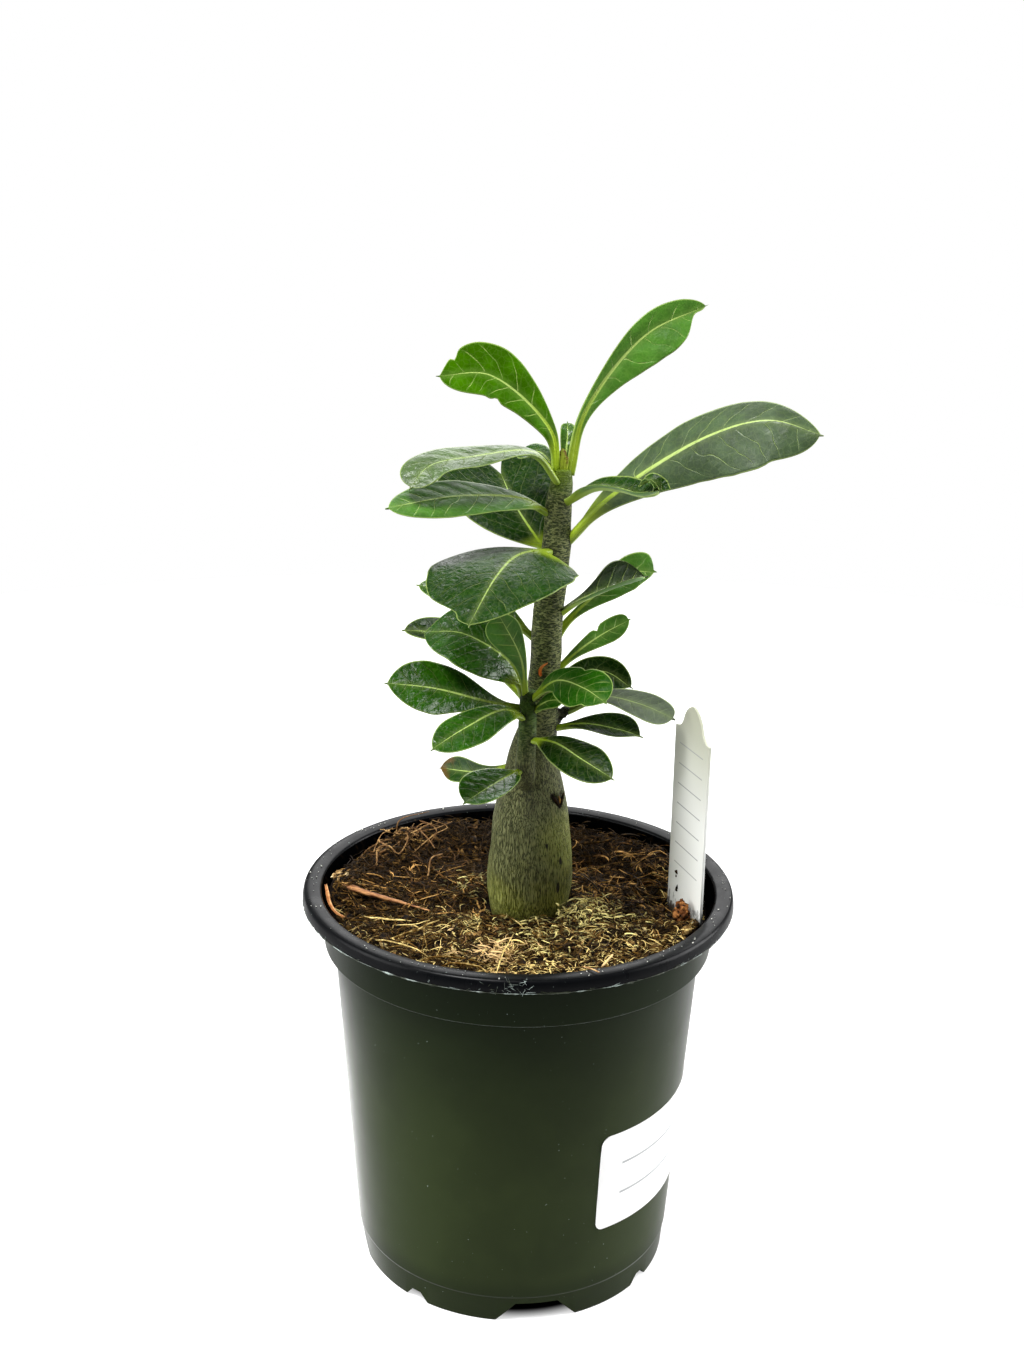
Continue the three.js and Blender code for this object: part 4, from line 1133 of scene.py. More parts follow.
class DESERT_ROSE_OT_stems(bpy.types.Operator):
    """Swollen base, upright stem, front branch and side stub, grown into one body"""

    bl_idname = "desert_rose.stems"
    bl_label = "Caudex and stems"

    def execute(self, context):
        plant = context.scene.desert_rose_plant
        sides = {"trunk": 64, "branch": 32, "stub": 24}
        points, faces = joined(capped_loft(stem_loops(STEMS[stem], sides[stem])) for stem in STEMS)
        piece = make_piece("caudex_and_stems", placed(points), faces, [])
        with_modifier(piece, "REMESH", mode="VOXEL", voxel_size=0.42 * MM, use_smooth_shade=True)
        with_modifier(piece, "SMOOTH", factor=0.6, iterations=6)
        self.shape(piece, points_of(piece))
        piece.data.materials.append(bark_finish(plant))
        piece.data.polygons.foreach_set("use_smooth", [True] * len(piece.data.polygons))
        seat(piece, "bark", "caudex_trunk")
        self.torn_foot()
        return {"FINISHED"}

    def torn_foot(self):
        """What is left of a lost leaf's foot: two dark points and a tan one between them."""
        centres = [
            [(8.2, -6.8, 132.8), (9.3, -6.3, 131.2), (10.4, -5.6, 128.8)],
            [(11.4, -4.2, 133), (10.9, -4.9, 131.4), (10.4, -5.6, 129.2)],
            [(9.9, -6.1, 132.3), (10.2, -5.9, 131.2), (10.3, -5.8, 130.2)],
        ]
        radii = [(0.25, 0.55, 0.2), (0.1, 0.5, 0.35), (0.15, 0.32, 0.15)]
        material = strand_finish("dry_foot", srgb(24, 16, 8), srgb(70, 46, 20), srgb(176, 132, 70))
        strand_piece("torn_leaf_foot", centres, radii, 6, material, "bark", tones=[0.05, 0.15, 0.95])

    def shape(self, piece, points):
        """Presses streaks, wrinkles, lumps, the scar and the swellings into the skin."""
        upper = ease(points[:, 2], *SKIN_TURNS)
        streaks = grain(points * [1, 1, 0.13], 0.9, 3.0, 2)
        wrinkles = grain(points * [0.4, 0.4, 1], 0.8, 7.0, 2)
        out = 0.05 * streaks * (1 - upper) + 0.06 * wrinkles * upper + 0.2 * grain(points, 7, 1.0, 2)
        rough = ease(near_line(points, STUB[1][:3], STUB[2][:3]), 2.6, 1.2)
        out = out + rough * 0.8 * grain(points, 1.3, 5.0, 2)
        scar = np.max([ease(near_line(points, start, end), 1.1, 0.4) for start, end in SCAR], axis=0)
        out = out - 0.5 * scar
        for turn, low in SWELLINGS:
            x, y, radius = ring_at("trunk", low)
            spot = np.array([x, y, low]) + heading(turn) * radius
            out = out + 0.35 * np.exp(-((np.linalg.norm(points - spot, axis=1) / 1.1) ** 2))
        set_points(piece, points + normals_of(piece) * out[:, None])
        set_values(piece, "scar", scar * 0.9)
        self.colour(piece, points, rough)

    def colour(self, piece, points, rough):
        """Gives each point how green its skin is, how much painted light it takes, and how dark it is: the
        stub's rough skin, with painted shade in the crotch, under the branch and round the leaves' feet.
        """
        height = points[:, 2]
        branch = near_line(points, BRANCH[1][:3], BRANCH[-1][:3])
        green = ease(branch, 4.2, 2.8) * ease(height, 140, 158)
        crown = ease(height, 207, 217)
        set_values(piece, "green", np.clip(green * 0.85 + crown * 0.8, 0, 1))
        # Painted light: two pale patches, at the caudex's upper right and lower left
        lit = np.linalg.norm(points - [11.5, -5, 120], axis=1)
        low = np.linalg.norm(points - [-6.5, -6, 104], axis=1)
        set_values(piece, "pale", np.minimum(1, 1.1 * ease(lit, 12, 3) + 0.6 * ease(low, 8, 2)))
        # Painted shade in the crotch and under the branch, added to the stub's dark skin
        crotch = near_line(points, (1.6, -6.4, 138), (2.6, -5.6, 147))
        below = near_line(points, (1.4, -7.6, 141), (3, -10.4, 129))
        dark = np.maximum(rough * 0.9 + 0.5 * ease(crotch, 2.4, 0.8), 0.4 * ease(below, 3.2, 0.6))
        # Painted shade round the foot of each lower leaf
        for leaf in LEAVES:
            near = np.linalg.norm(points - leaf_foot(leaf) - heading(leaf.compass) * 0.8, axis=1)
            dark = np.maximum(dark, 0.55 * ease(near, 1.9, 1) * (leaf.height < 205))
        set_values(piece, "dark", np.clip(dark, 0, 1))


# Leaves
def leaf_foot(leaf):
    """Where the leaf's stalk begins, inside the skin of its stem."""
    x, y, radius = ring_at(leaf.stem, leaf.height)
    return np.array([x, y, leaf.height]) + heading(leaf.compass) * radius * 0.7


def half_blade(leaf, side, run, share, length, gap, seed):
    """Width of one half along the leaf, and how much of it is blade rather than stalk."""
    width, swell, blunt = getattr(leaf, side)
    widest = swell / (swell + blunt)
    peak = widest**swell * (1 - widest) ** blunt
    spread = share**swell * (1 - share) ** blunt / peak
    half = width * spread + (0.4 + 0.15 * gap) * (1 - spread) * (1 - share)
    for where, at, depth, reach in leaf.notches:
        if where == side:
            half = half * (1 - depth * np.exp(-(((run - at) / reach) ** 2)))
    ripple = grain(np.stack([run * length, run * 0 + seed, run * 0], 1), 7, seed + (side == "left"), 2)
    return half * (1 + 0.035 * ripple * spread), spread


def leaf_body(leaf, seed):
    """Points, faces, values at the points and choice of finish of one leaf."""
    # Stations along the midrib, closer together towards the tip, and the blade's directions there
    way, length = smooth_path([leaf_foot(leaf), *leaf.path], 160)
    stations = max(30, int(length / LEAF_STEP))
    run = 1 - (1 - 0.996 * np.linspace(0, 1, stations + 1)) ** 1.5
    spots = np.linspace(0, 1, len(way))
    middle = read_off(way, spots, run)
    along = unit(read_off(np.gradient(way, axis=0), spots, run))
    up = heading(leaf.bearing, leaf.rise)
    up = unit(up - (along @ up)[:, None] * along)  # square to the midrib
    right = np.cross(along, up)

    share = np.clip((run - leaf.stalk) / (1 - leaf.stalk), 0, 1)
    gap = min(6.5, max(3.2, length / 9))  # between the side veins
    fold, curl = math.radians(leaf.fold), math.radians(leaf.curl or 1)
    half_across = np.linspace(0, 1, HALF_COLUMNS + 1)[1:]
    across = np.concatenate([-half_across[::-1], [0], half_across])
    sides = {side: half_blade(leaf, side, run, share, length, gap, seed) for side in ("left", "right")}
    uppers, lowers, blade, margin = [], [], [], []
    for v in across:
        half, spread = sides["right" if v > 0 else "left"]
        edge = abs(v)
        sideways = half * edge
        inset = half - sideways

        # The folded and curled sheet, with its ripples, its grooved veins and the swells between them
        bent = fold + curl * edge
        out = half * (math.sin(bent) - math.sin(fold)) / curl * (1 if v > 0 else -1)
        lift = half * (math.cos(fold) - math.cos(bent)) / curl
        phase = (run * length - 0.75 * sideways - 0.03 * sideways**2) / gap + (0.5 if v > 0 else 0) + seed
        off_vein = phase % 1 - 0.5
        groove = np.exp(-(((np.abs(off_vein) * gap) / 0.5) ** 2)) * ease(inset, 0.3, 2)
        pillow = 0.07 * np.cos(off_vein * 2 * math.pi) * ease(sideways, 0.6, 2.5) * ease(inset, 0.2, 2)
        places = np.stack([run * length, run * 0 + v * 9, run * 0 + seed], 1)
        wave = grain(places, 9, seed) * 0.55 * edge**2
        lift = lift + (wave - pillow - 0.06 * groove) * spread
        lobe = leaf.lobes * max(0, 1 - ((edge - 0.6) / 0.6) ** 2) * run**6
        lobe = lobe + 0.9 * math.exp(-((v / 0.2) ** 2)) * ease(share, 0.93, 1) * (leaf.lobes == 0)
        sheet = middle + right * out[:, None] + up * lift[:, None] + along * lobe[:, None]

        # Thickness above and below it: the round stalk, the midrib and the blade
        stalk = (1 - spread) * (1 - share)
        round_part = math.sqrt(max(0.0, 1 - v * v))
        above = 0.5 * stalk * round_part + 0.12 * np.exp(-((sideways / 0.7) ** 2)) * spread
        rib = (0.2 + 0.8 * (1 - share) ** 0.8) * np.exp(-((sideways / (0.35 + 0.6 * (1 - share))) ** 2))
        below = BLADE_THICK * (0.6 + 0.4 * round_part) + 0.95 * stalk * round_part + rib * (1 - stalk)
        uppers.append(sheet + up * above[:, None])
        lowers.append(sheet - up * below[:, None])
        blade.append(np.stack([phase, sideways, share], 1))
        margin.append(np.stack([inset, run * 0 + gap, run * 0 + seed % 1], 1))

    points, blade, margin = [
        np.array(upper + lower[::-1]).transpose(1, 0, 2).reshape(-1, 3)
        for upper, lower in ((uppers, lowers), (blade, blade), (margin, margin))
    ]
    width = len(across)
    first = np.arange(width - 1)
    foot = np.stack([first, first + 1, 2 * width - 2 - first, 2 * width - 1 - first], 1)
    faces = np.concatenate([grid_faces(stations + 1, 2 * width), foot[:, ::-1], foot + stations * 2 * width])
    column = np.tile(np.arange(2 * width), stations)
    under = (column >= width) & (column < 2 * width - 1)
    choice = np.concatenate([under, np.zeros(2 * width - 2)]).astype(int)
    return points, faces, {"blade": blade, "margin": margin}, choice


class DESERT_ROSE_OT_leaves(bpy.types.Operator):
    """All the leaves, each on its own stalk"""

    bl_idname = "desert_rose.leaves"
    bl_label = "Leaves"

    def execute(self, context):
        plant = context.scene.desert_rose_plant
        tops = {name: leaf_finish(plant, "leaf_" + name, look) for name, look in LOOKS.items()}
        under = underside_finish(plant, "leaf_underside", srgb(92, 130, 66))
        young_under = underside_finish(plant, "leaf_young_underside", srgb(140, 176, 56))
        for i, leaf in enumerate(LEAVES):
            points, faces, values, choice = leaf_body(leaf, 0.37 + 1.618 * i)
            young = leaf.look in ("young", "bright")
            materials = [tops[leaf.look], young_under if young else under]
            piece = make_piece(leaf.node + "_blade", placed(points), faces, materials, values, choice)
            slot = "young_leaf" if leaf.node in ("leaf_crown_left", "leaf_branch_right") else "leaf"
            seat(piece, slot, leaf.node)
        return {"FINISHED"}


class DESERT_ROSE_OT_buds(bpy.types.Operator):
    """Closed bud at the tip of the stem, and the dry bract on its front"""

    bl_idname = "desert_rose.buds"
    bl_label = "Bud and bract"

    def execute(self, context):
        self.bud()
        self.bract()
        return {"FINISHED"}

    def bud(self):
        """Four closed scales, one in the middle and three round it."""
        x, y, top, _ = TRUNK[-1]
        # Place off the middle, bearing, length, radius and lean
        scales = [
            (0, 0, 5.2, 1.15, 0), (0.75, 200, 3.9, 0.6, 8), (0.75, 75, 3.4, 0.55, 9), (0.8, 320, 3.6, 0.6, 8),
        ]
        steps, sides = 12, 14
        bodies = []
        for off, turn, length, radius, lean in scales:
            root = np.array([x, y, top - 1]) + heading(turn) * off
            way = heading(turn, 90 - lean)
            loops = []
            for t in np.linspace(0, 1, steps):
                girth = max(0.12, radius * (0.7 + 0.6 * t) * math.sqrt(max(0.0, 1 - t**3)))
                loops.append(root + way * length * t * 1.15 + circle(sides) * girth)
            bodies.append(capped_loft(loops))
        points, faces = joined(bodies)
        tones = np.tile([*np.repeat(np.linspace(0, 1, steps), sides), 0, 1], len(scales)) * 0.95
        material = strand_finish("bud_green", srgb(158, 176, 48), srgb(136, 150, 44), srgb(84, 62, 26))
        piece = make_piece("bud", placed(points), faces, [material], {"tone": tones})
        seat(piece, "young_leaf", "apical_bud")

    def bract(self):
        """One dry cupped scale."""
        way, _ = smooth_path([(4.7, -3.6, 163.6), (4.3, -5.2, 165.4), (4.8, -6, 167), (6.2, -6.1, 168)], 20)
        run = np.linspace(0, 1, 21)
        half = 0.42 * np.sin(math.pi * (0.12 + 0.83 * run)) ** 0.7
        side = unit(np.cross(unit(np.gradient(way, axis=0)), [0.2, -1, 0.2]))
        out = np.cross(side, unit(np.gradient(way, axis=0)))
        # The section's points as across, in half widths, and out
        section = [
            (-1, 0.25), (-0.5, 0.07), (0, 0), (0.5, 0.07), (1, 0.25), (0.5, -0.07), (0, -0.16), (-0.5, -0.07),
        ]
        loops = [way + side * (half * across)[:, None] + out * cup for across, cup in section]
        points, faces = capped_loft(np.array(loops).transpose(1, 0, 2))
        material = strand_finish("dry_bract", srgb(150, 70, 26), srgb(206, 104, 44), srgb(226, 140, 78))
        tone = np.concatenate([np.repeat(run, len(section)), [0, 1]])
        piece = make_piece("bract_scale", placed(points), faces, [material], {"tone": tone})
        seat(piece, "dry_bract", "dried_bract")


# Tag
def tag_outline(tag):
    """The tag's outline as across and up, anticlockwise from its point."""
    width, shoulder, peak, taper, tip = in_mm(tag, "width", "shoulder", "peak", "taper", "tip")
    half = width / 2
    right = [
        (0.6, tip), (half - 0.5, taper - 0.8), (half, taper + 0.4), (half, shoulder - 0.5),
        (half - 0.15, shoulder - 0.12), (half - 0.5, shoulder),
    ]
    corners = [(0.84, shoulder), (0.6, shoulder + 0.8), (0.5, shoulder + 3.6), (0.36, peak - 0.9), (0, peak)]
    foot, hollow, neck, swell, top = [np.array([half * across, up]) for across, up in corners]
    right += [*curve(foot, hollow, neck, 9), *curve(neck, swell, top, 9)[1:]]
    return np.array(right + [(-x, z) for x, z in right[-2::-1]])


class DESERT_ROSE_OT_tag(bpy.types.Operator):
    """Blank white plant tag with a shaped top, and the soil that clings to it"""

    bl_idname = "desert_rose.tag"
    bl_label = "Plant tag"

    def execute(self, context):
        self.sheet(context.scene.desert_rose_tag)
        rng = np.random.default_rng(11)
        self.clump(rng)
        self.smudges(rng)
        return {"FINISHED"}

    def sheet(self, tag):
        """The tag itself: its outline in four layers, slightly bowed."""
        thick, x, y = in_mm(tag, "thickness", "x", "y")
        inset = 0.12
        outline = tag_outline(tag)
        middle = np.array([0, outline[:, 1].mean()])
        small = outline + unit(middle - outline) * inset
        # Outline, depth, and whether it bounds a face, for each layer from the back
        layers = [
            (small, -thick / 2, 1), (outline, -thick / 2 + inset, 0),
            (outline, thick / 2 - inset, 0), (small, thick / 2, 1),
        ]
        wide = heading(math.degrees(tag.turn))
        out = np.cross(wide, [0, 0, 1])
        half = outline[:, 0].max()
        loops, sheet = [], []
        for ring, depth, face in layers:
            across, up = ring.T
            bow = 0.25 * (0.9 * ((up - 120) / 37) ** 2 - 0.5)
            upright = np.outer(up, [0, 0, 1]) + [x, y, 0]
            loops.append(np.outer(across, wide) + np.outer(depth + bow, out) + upright)
            sheet += [(a / half / 2, b, face) for a, b in ring]
        count = len(outline)
        faces = grid_faces(4, count).tolist()
        faces += [list(range(count))[::-1], [3 * count + i for i in range(count)]]
        points = np.array(loops).reshape(-1, 3)
        piece = make_piece("blank_tag", placed(points), faces, [tag_finish(tag)], {"sheet": sheet}, angle=35)
        with_modifier(piece, "TRIANGULATE")
        piece.data.set_sharp_from_angle(angle=math.radians(35))
        seat(piece, "tag_plastic", "plant_tag")

    def clump(self, rng):
        """The crumbly lump stuck to the tag's face."""
        middle, reach = box_of("soil_clump")
        count = 150
        spots = rng.normal(0, 0.46, (count, 3))
        spots = spots / np.maximum(1, np.linalg.norm(spots, axis=1, keepdims=True) / 0.8)
        middles = middle + spots * reach * [0.9, 1, 1]
        sizes = rng.uniform(0.35, 0.85, count)
        material = strand_finish("clump_soil", srgb(44, 26, 14), srgb(112, 66, 32), srgb(168, 112, 60))
        crumb_piece("tag_clump", middles, sizes, rng, material, "soil", "soil_clump", rough=0.5)

    def smudges(self, rng):
        """Four dark specks above the clump."""
        spots = [(41.8, -2.7, 110.1), (41.7, -2.4, 108.9), (41.9, -3.4, 106.2), (41.8, -3.2, 105.2)]
        material = strand_finish("dark_smudge", srgb(20, 16, 12), srgb(34, 26, 18), srgb(50, 38, 26))
        crumb_piece("tag_smudges", spots, [0.7, 0.45, 0.75, 0.5], rng, material, "soil", rough=0.5)


# Soil
def at_zero(points):
    """The same places at height 0."""
    return np.column_stack([points[:, 0], points[:, 1], np.zeros(len(points))])


def from_stem(places):
    """How far the places are from the middle of the stem."""
    return np.hypot(places[..., 0] - STEM_PLACE[0], places[..., 1] - STEM_PLACE[1])


def on_disc(rng, radius, count):
    """Places strewn evenly over a level disc."""
    far = radius * np.sqrt(rng.uniform(0, 1, count))
    turn = rng.uniform(0, 2 * math.pi, count)
    return np.stack([far * np.cos(turn), far * np.sin(turn)], 1)


def ground(points, level):
    """Height of the soil at each place: waves, mounds, and a rise towards the back wall."""
    flat = at_zero(points)
    height = level + 0.75 * grain(flat, 13, 2.0) + 1.2 * grain(flat, 5.2, 6.0, 2)
    for x, y, lift, reach in MOUNDS:
        height = height + lift * np.exp(-(((flat[:, 0] - x) ** 2 + (flat[:, 1] - y) ** 2) / reach**2))
    return height + 3.2 * ease(np.hypot(flat[:, 0], flat[:, 1]), 33, 48) * ease(flat[:, 1], -12, 24)


def golden_share(points):
    """How golden the soil is there: most at the front and right, least at the back left."""
    flat = at_zero(points)
    lean = 0.44 + 0.004 * flat[:, 0] - 0.014 * flat[:, 1]
    return np.clip(lean + 0.5 * grain(flat, 9, 8.0, 2) + 0.55 * grain(flat, 3.2, 5.0), 0, 1)


def clear(path):
    """Which of the fibres keep clear of the wall, the stem and the tag."""
    reach = np.hypot(path[..., 0], path[..., 1]).max(1)
    from_tag = path - TAG_PLACE
    across = np.abs(from_tag @ heading(TAG_BEARING)[:2])
    off = from_tag @ heading(TAG_BEARING + 90)[:2]
    crossing = (across.min(1) < 10.5) & (off.min(1) < 0.5) & (off.max(1) > -0.5)
    return (reach < 49.7) & (from_stem(path).min(1) > 10.8) & ~crossing


def strewn(rng, count, steps, lengths, lift, level, patch):
    """Centres of curved fibres lying on the soil, over the whole bed or round a patch."""
    if patch is None:
        middle = on_disc(rng, 49.6, count)
    else:
        middle = np.array(patch[:2]) + rng.normal(0, 1, (count, 2)) * patch[2:]
    length = rng.uniform(*lengths, count)
    facing = rng.uniform(0, 2 * math.pi, count)
    curl = rng.normal(0, 1.1, count)
    run = np.linspace(-0.5, 0.5, steps)
    angle = facing[:, None] + curl[:, None] * run + rng.normal(0, 0.132, (count, steps))
    step = length[:, None, None] / (steps - 1) * np.stack([np.cos(angle), np.sin(angle)], -1)
    path = np.cumsum(step, axis=1)
    path = middle[:, None] + path - path.mean(1, keepdims=True)
    keep = clear(path)
    path, length = path[keep], length[keep]

    # Each lies mostly level over the soil, some way up, tilted and arched
    rise = ground(path.reshape(-1, 2), level).reshape(path.shape[:2])
    rise = 0.35 * rise + 0.65 * rise.mean(1, keepdims=True)
    high = rng.gamma(1.4, lift, (len(path), 1))
    tilt = rng.normal(0, 0.16, (len(path), 1)) * length[:, None] * run
    arch = rng.uniform(0, 0.12, (len(path), 1)) * length[:, None] * (1 - 4 * run**2)
    return np.dstack([path, rise + high + tilt + arch - 0.15])


class DESERT_ROSE_OT_soil(bpy.types.Operator):
    """Bed of peat and coir with its loose fibres, crumbs and flakes"""

    bl_idname = "desert_rose.soil"
    bl_label = "Potting soil"

    def execute(self, context):
        soil = context.scene.desert_rose_soil
        level = soil.top / MM
        self.bed(level, peat_finish(soil))
        coir = strand_finish("coir", toned(soil.coir, 0.1), soil.coir, soil.straw)
        rusty = strand_finish("coir_rusty", srgb(24, 15, 6), srgb(98, 66, 28), srgb(206, 158, 90))
        moss = strand_finish("moss", toned(soil.moss_tint, 0.1), toned(soil.moss_tint, 0.42), soil.moss_tint)
        tan = strand_finish("coir_tan", srgb(60, 38, 20), srgb(146, 108, 66), srgb(222, 188, 132))
        half = soil.moss // 2
        # Count, finish, lengths, girth, tones, lift, and the middle and spreads of a patch
        kinds = {
            "coir_dark": (soil.dark, coir, (2.5, 9), 0.13, (0, 0.18), 0.45),
            "coir_brown": (soil.brown, coir, (2, 7), 0.09, (0.1, 0.7), 0.45),
            "coir_golden": (soil.golden, coir, (1, 5), 0.085, (0.4, 1.3), 0.45),
            "coir_long": (170, coir, (9, 18), 0.14, (0.35, 0.95), 0.8),
            "coir_rusty_left": (560, rusty, (3, 9), 0.14, (-0.5, 2.2), 0.7, (-30, 12, 14, 12)),
            "coir_rusty_right": (460, rusty, (3, 8), 0.13, (-0.2, 2.8), 0.7, (28, 18, 12, 11)),
            "moss_right": (half, moss, (1.2, 3.8), 0.15, (-0.4, 3), 0.8, (19, -9, 7, 4)),
            "moss_front": (half, moss, (1.2, 3.8), 0.13, (-0.3, 1.5), 0.6, (7, -21, 9, 7)),
            "moss_left": (half // 2, moss, (1, 3), 0.12, (-0.3, 1.2), 0.5, (-14, -11, 6, 5)),
            "coir_tan": (110, tan, (3, 7), 0.15, (-0.1, 2), 0.8, (-5.2, -30.5, 4.4, 4)),
            "moss_back": (half // 3, moss, (1, 3), 0.13, (-0.3, 2), 0.8, (-13, 10, 4, 5)),
        }
        rng = np.random.default_rng(21)
        for name, kind in kinds.items():
            self.fibres(name, rng, level, *kind)
        self.straws(tan)
        self.crumbs(rng, soil, level)
        self.flakes(rng, level)
        return {"FINISHED"}

    def bed(self, level, material):
        """The lumpy bed, closed down to the base of the pot."""
        edge = 50
        ring = circle(230)
        loops = [ring * r + [0, 0, z] for r, z in ((41.4, 7.5), (46.9, 90.9), (47.2, 91.5), (edge, 92.4))]
        for radius in np.linspace(edge, 1.2, 78):
            height = ground(ring * radius, level - 0.8) + 0.8 * grain(ring * radius, 1.7, 4.0, 2)
            loops.append(ring * radius + np.outer(np.maximum(height, 93), [0, 0, 1]))
        points, faces = capped_loft(loops)
        piece = make_piece("soil_bed", placed(points), faces, [material], angle=60)
        seat(piece, "soil", "potting_soil")

    def fibres(self, name, rng, level, count, material, lengths, girth, tones, lift, patch=None):
        """One kind of loose fibre, each as light as the soil is golden where it lies."""
        taper = np.array([0.45, 0.9, 1, 1, 0.85, 0.4])
        centres = strewn(rng, count, len(taper), lengths, lift, level, patch)
        kept = len(centres)
        radii = rng.gamma(4, girth / 4, (kept, 1)).clip(0.04, 0.4) * taper
        golden = golden_share(centres[:, 2, :2])
        drawn = np.clip(rng.beta(0.8, 1.3, kept) * 0.75 + golden * 0.5, 0, 1.1)
        tone = (tones[0] + (tones[1] - tones[0]) * drawn) * (0.4 + 0.6 * golden)
        # A tone below 0 stays at the darkest colour
        tone = np.where(tone > 0, 1.15 * np.abs(tone) ** 1.9, -0.3)
        strand_piece(name, centres, radii, 3, material, "soil", tones=tone)

    def straws(self, material):
        """Two pale straws at the front: one lies over the rim, one inside it."""
        centres = [smooth_path(way, 8)[0] for way in STRAWS]
        radii = np.array([0.22, 0.34])[:, None] * np.interp(np.arange(9), [0, 2, 8], [0.6, 1, 0.7])
        strand_piece("straws", centres, radii, 6, material, "soil", tones=[0.6, 1])

    def crumbs(self, rng, soil, level):
        """Lumps of peat, clear of the stem."""
        flat = on_disc(rng, 49, soil.crumbs)
        flat = flat[from_stem(flat) > 12]
        sizes = rng.gamma(3, 0.16, len(flat)).clip(0.15, 1.3)
        middles = np.column_stack([flat, ground(flat, level) + sizes * 0.3])
        tones = rng.beta(1.2, 2.6, len(flat)) * (0.4 + 0.6 * golden_share(flat))
        dark, mid = toned(soil.peat, 0.35), toned(soil.coir, 0.55)
        peat = strand_finish("peat_crumbs", dark, mid, srgb(170, 140, 88))
        crumb_piece("peat_crumbs", middles, sizes, rng, peat, "soil", tones=tones, rough=0.4)

    def flakes(self, rng, level):
        """Flat five-cornered bits of bark and pith."""
        count = 420
        flat = rng.uniform(-48, 48, (count * 2, 2))
        flat = flat[(np.hypot(*flat.T) < 47.5) & (from_stem(flat) > 12.5)][:count]
        kept = len(flat)
        long, wide = rng.uniform(0.7, 2.6, kept), rng.uniform(0.3, 0.9, kept)
        spin = rng.uniform(0, 2 * math.pi, kept)
        tip, roll = rng.normal(0, 0.35, kept), rng.normal(0, 0.5, kept)
        height = ground(flat, level) + 0.35
        golden = golden_share(flat)
        corners = np.array([(-1, -0.6, 0), (-0.2, -1, 0), (0.9, -0.3, 0), (0.7, 0.9, 0), (-0.5, 0.8, 0)])
        sides = [[j, (j + 1) % 5, 5 + (j + 1) % 5, 5 + j] for j in range(5)]
        slab_faces = [[4, 3, 2, 1, 0], [5, 6, 7, 8, 9], *sides]
        bodies, tones = [], []
        for i in range(kept):
            turn = Matrix.Rotation(spin[i], 3, "Z") @ Matrix.Rotation(tip[i], 3, "Y")
            turn = np.array(turn @ Matrix.Rotation(roll[i], 3, "X"))
            ring = corners * [long[i], wide[i], 0] * rng.uniform(0.8, 1.2, (5, 1))
            slab = np.concatenate([ring - [0, 0, 0.09], ring + [0, 0, 0.09]])
            bodies.append((slab @ turn.T + [*flat[i], height[i]], slab_faces))
            tones += [rng.beta(1.5, 1.6) * (0.3 + 0.7 * golden[i])] * len(slab)
        points, faces = joined(bodies)
        material = strand_finish("bark_flakes", srgb(70, 46, 22), srgb(140, 106, 56), srgb(222, 200, 140))
        piece = make_piece("bark_flakes", placed(points), faces, [material], {"tone": tones}, angle=30)
        seat(piece, "soil")


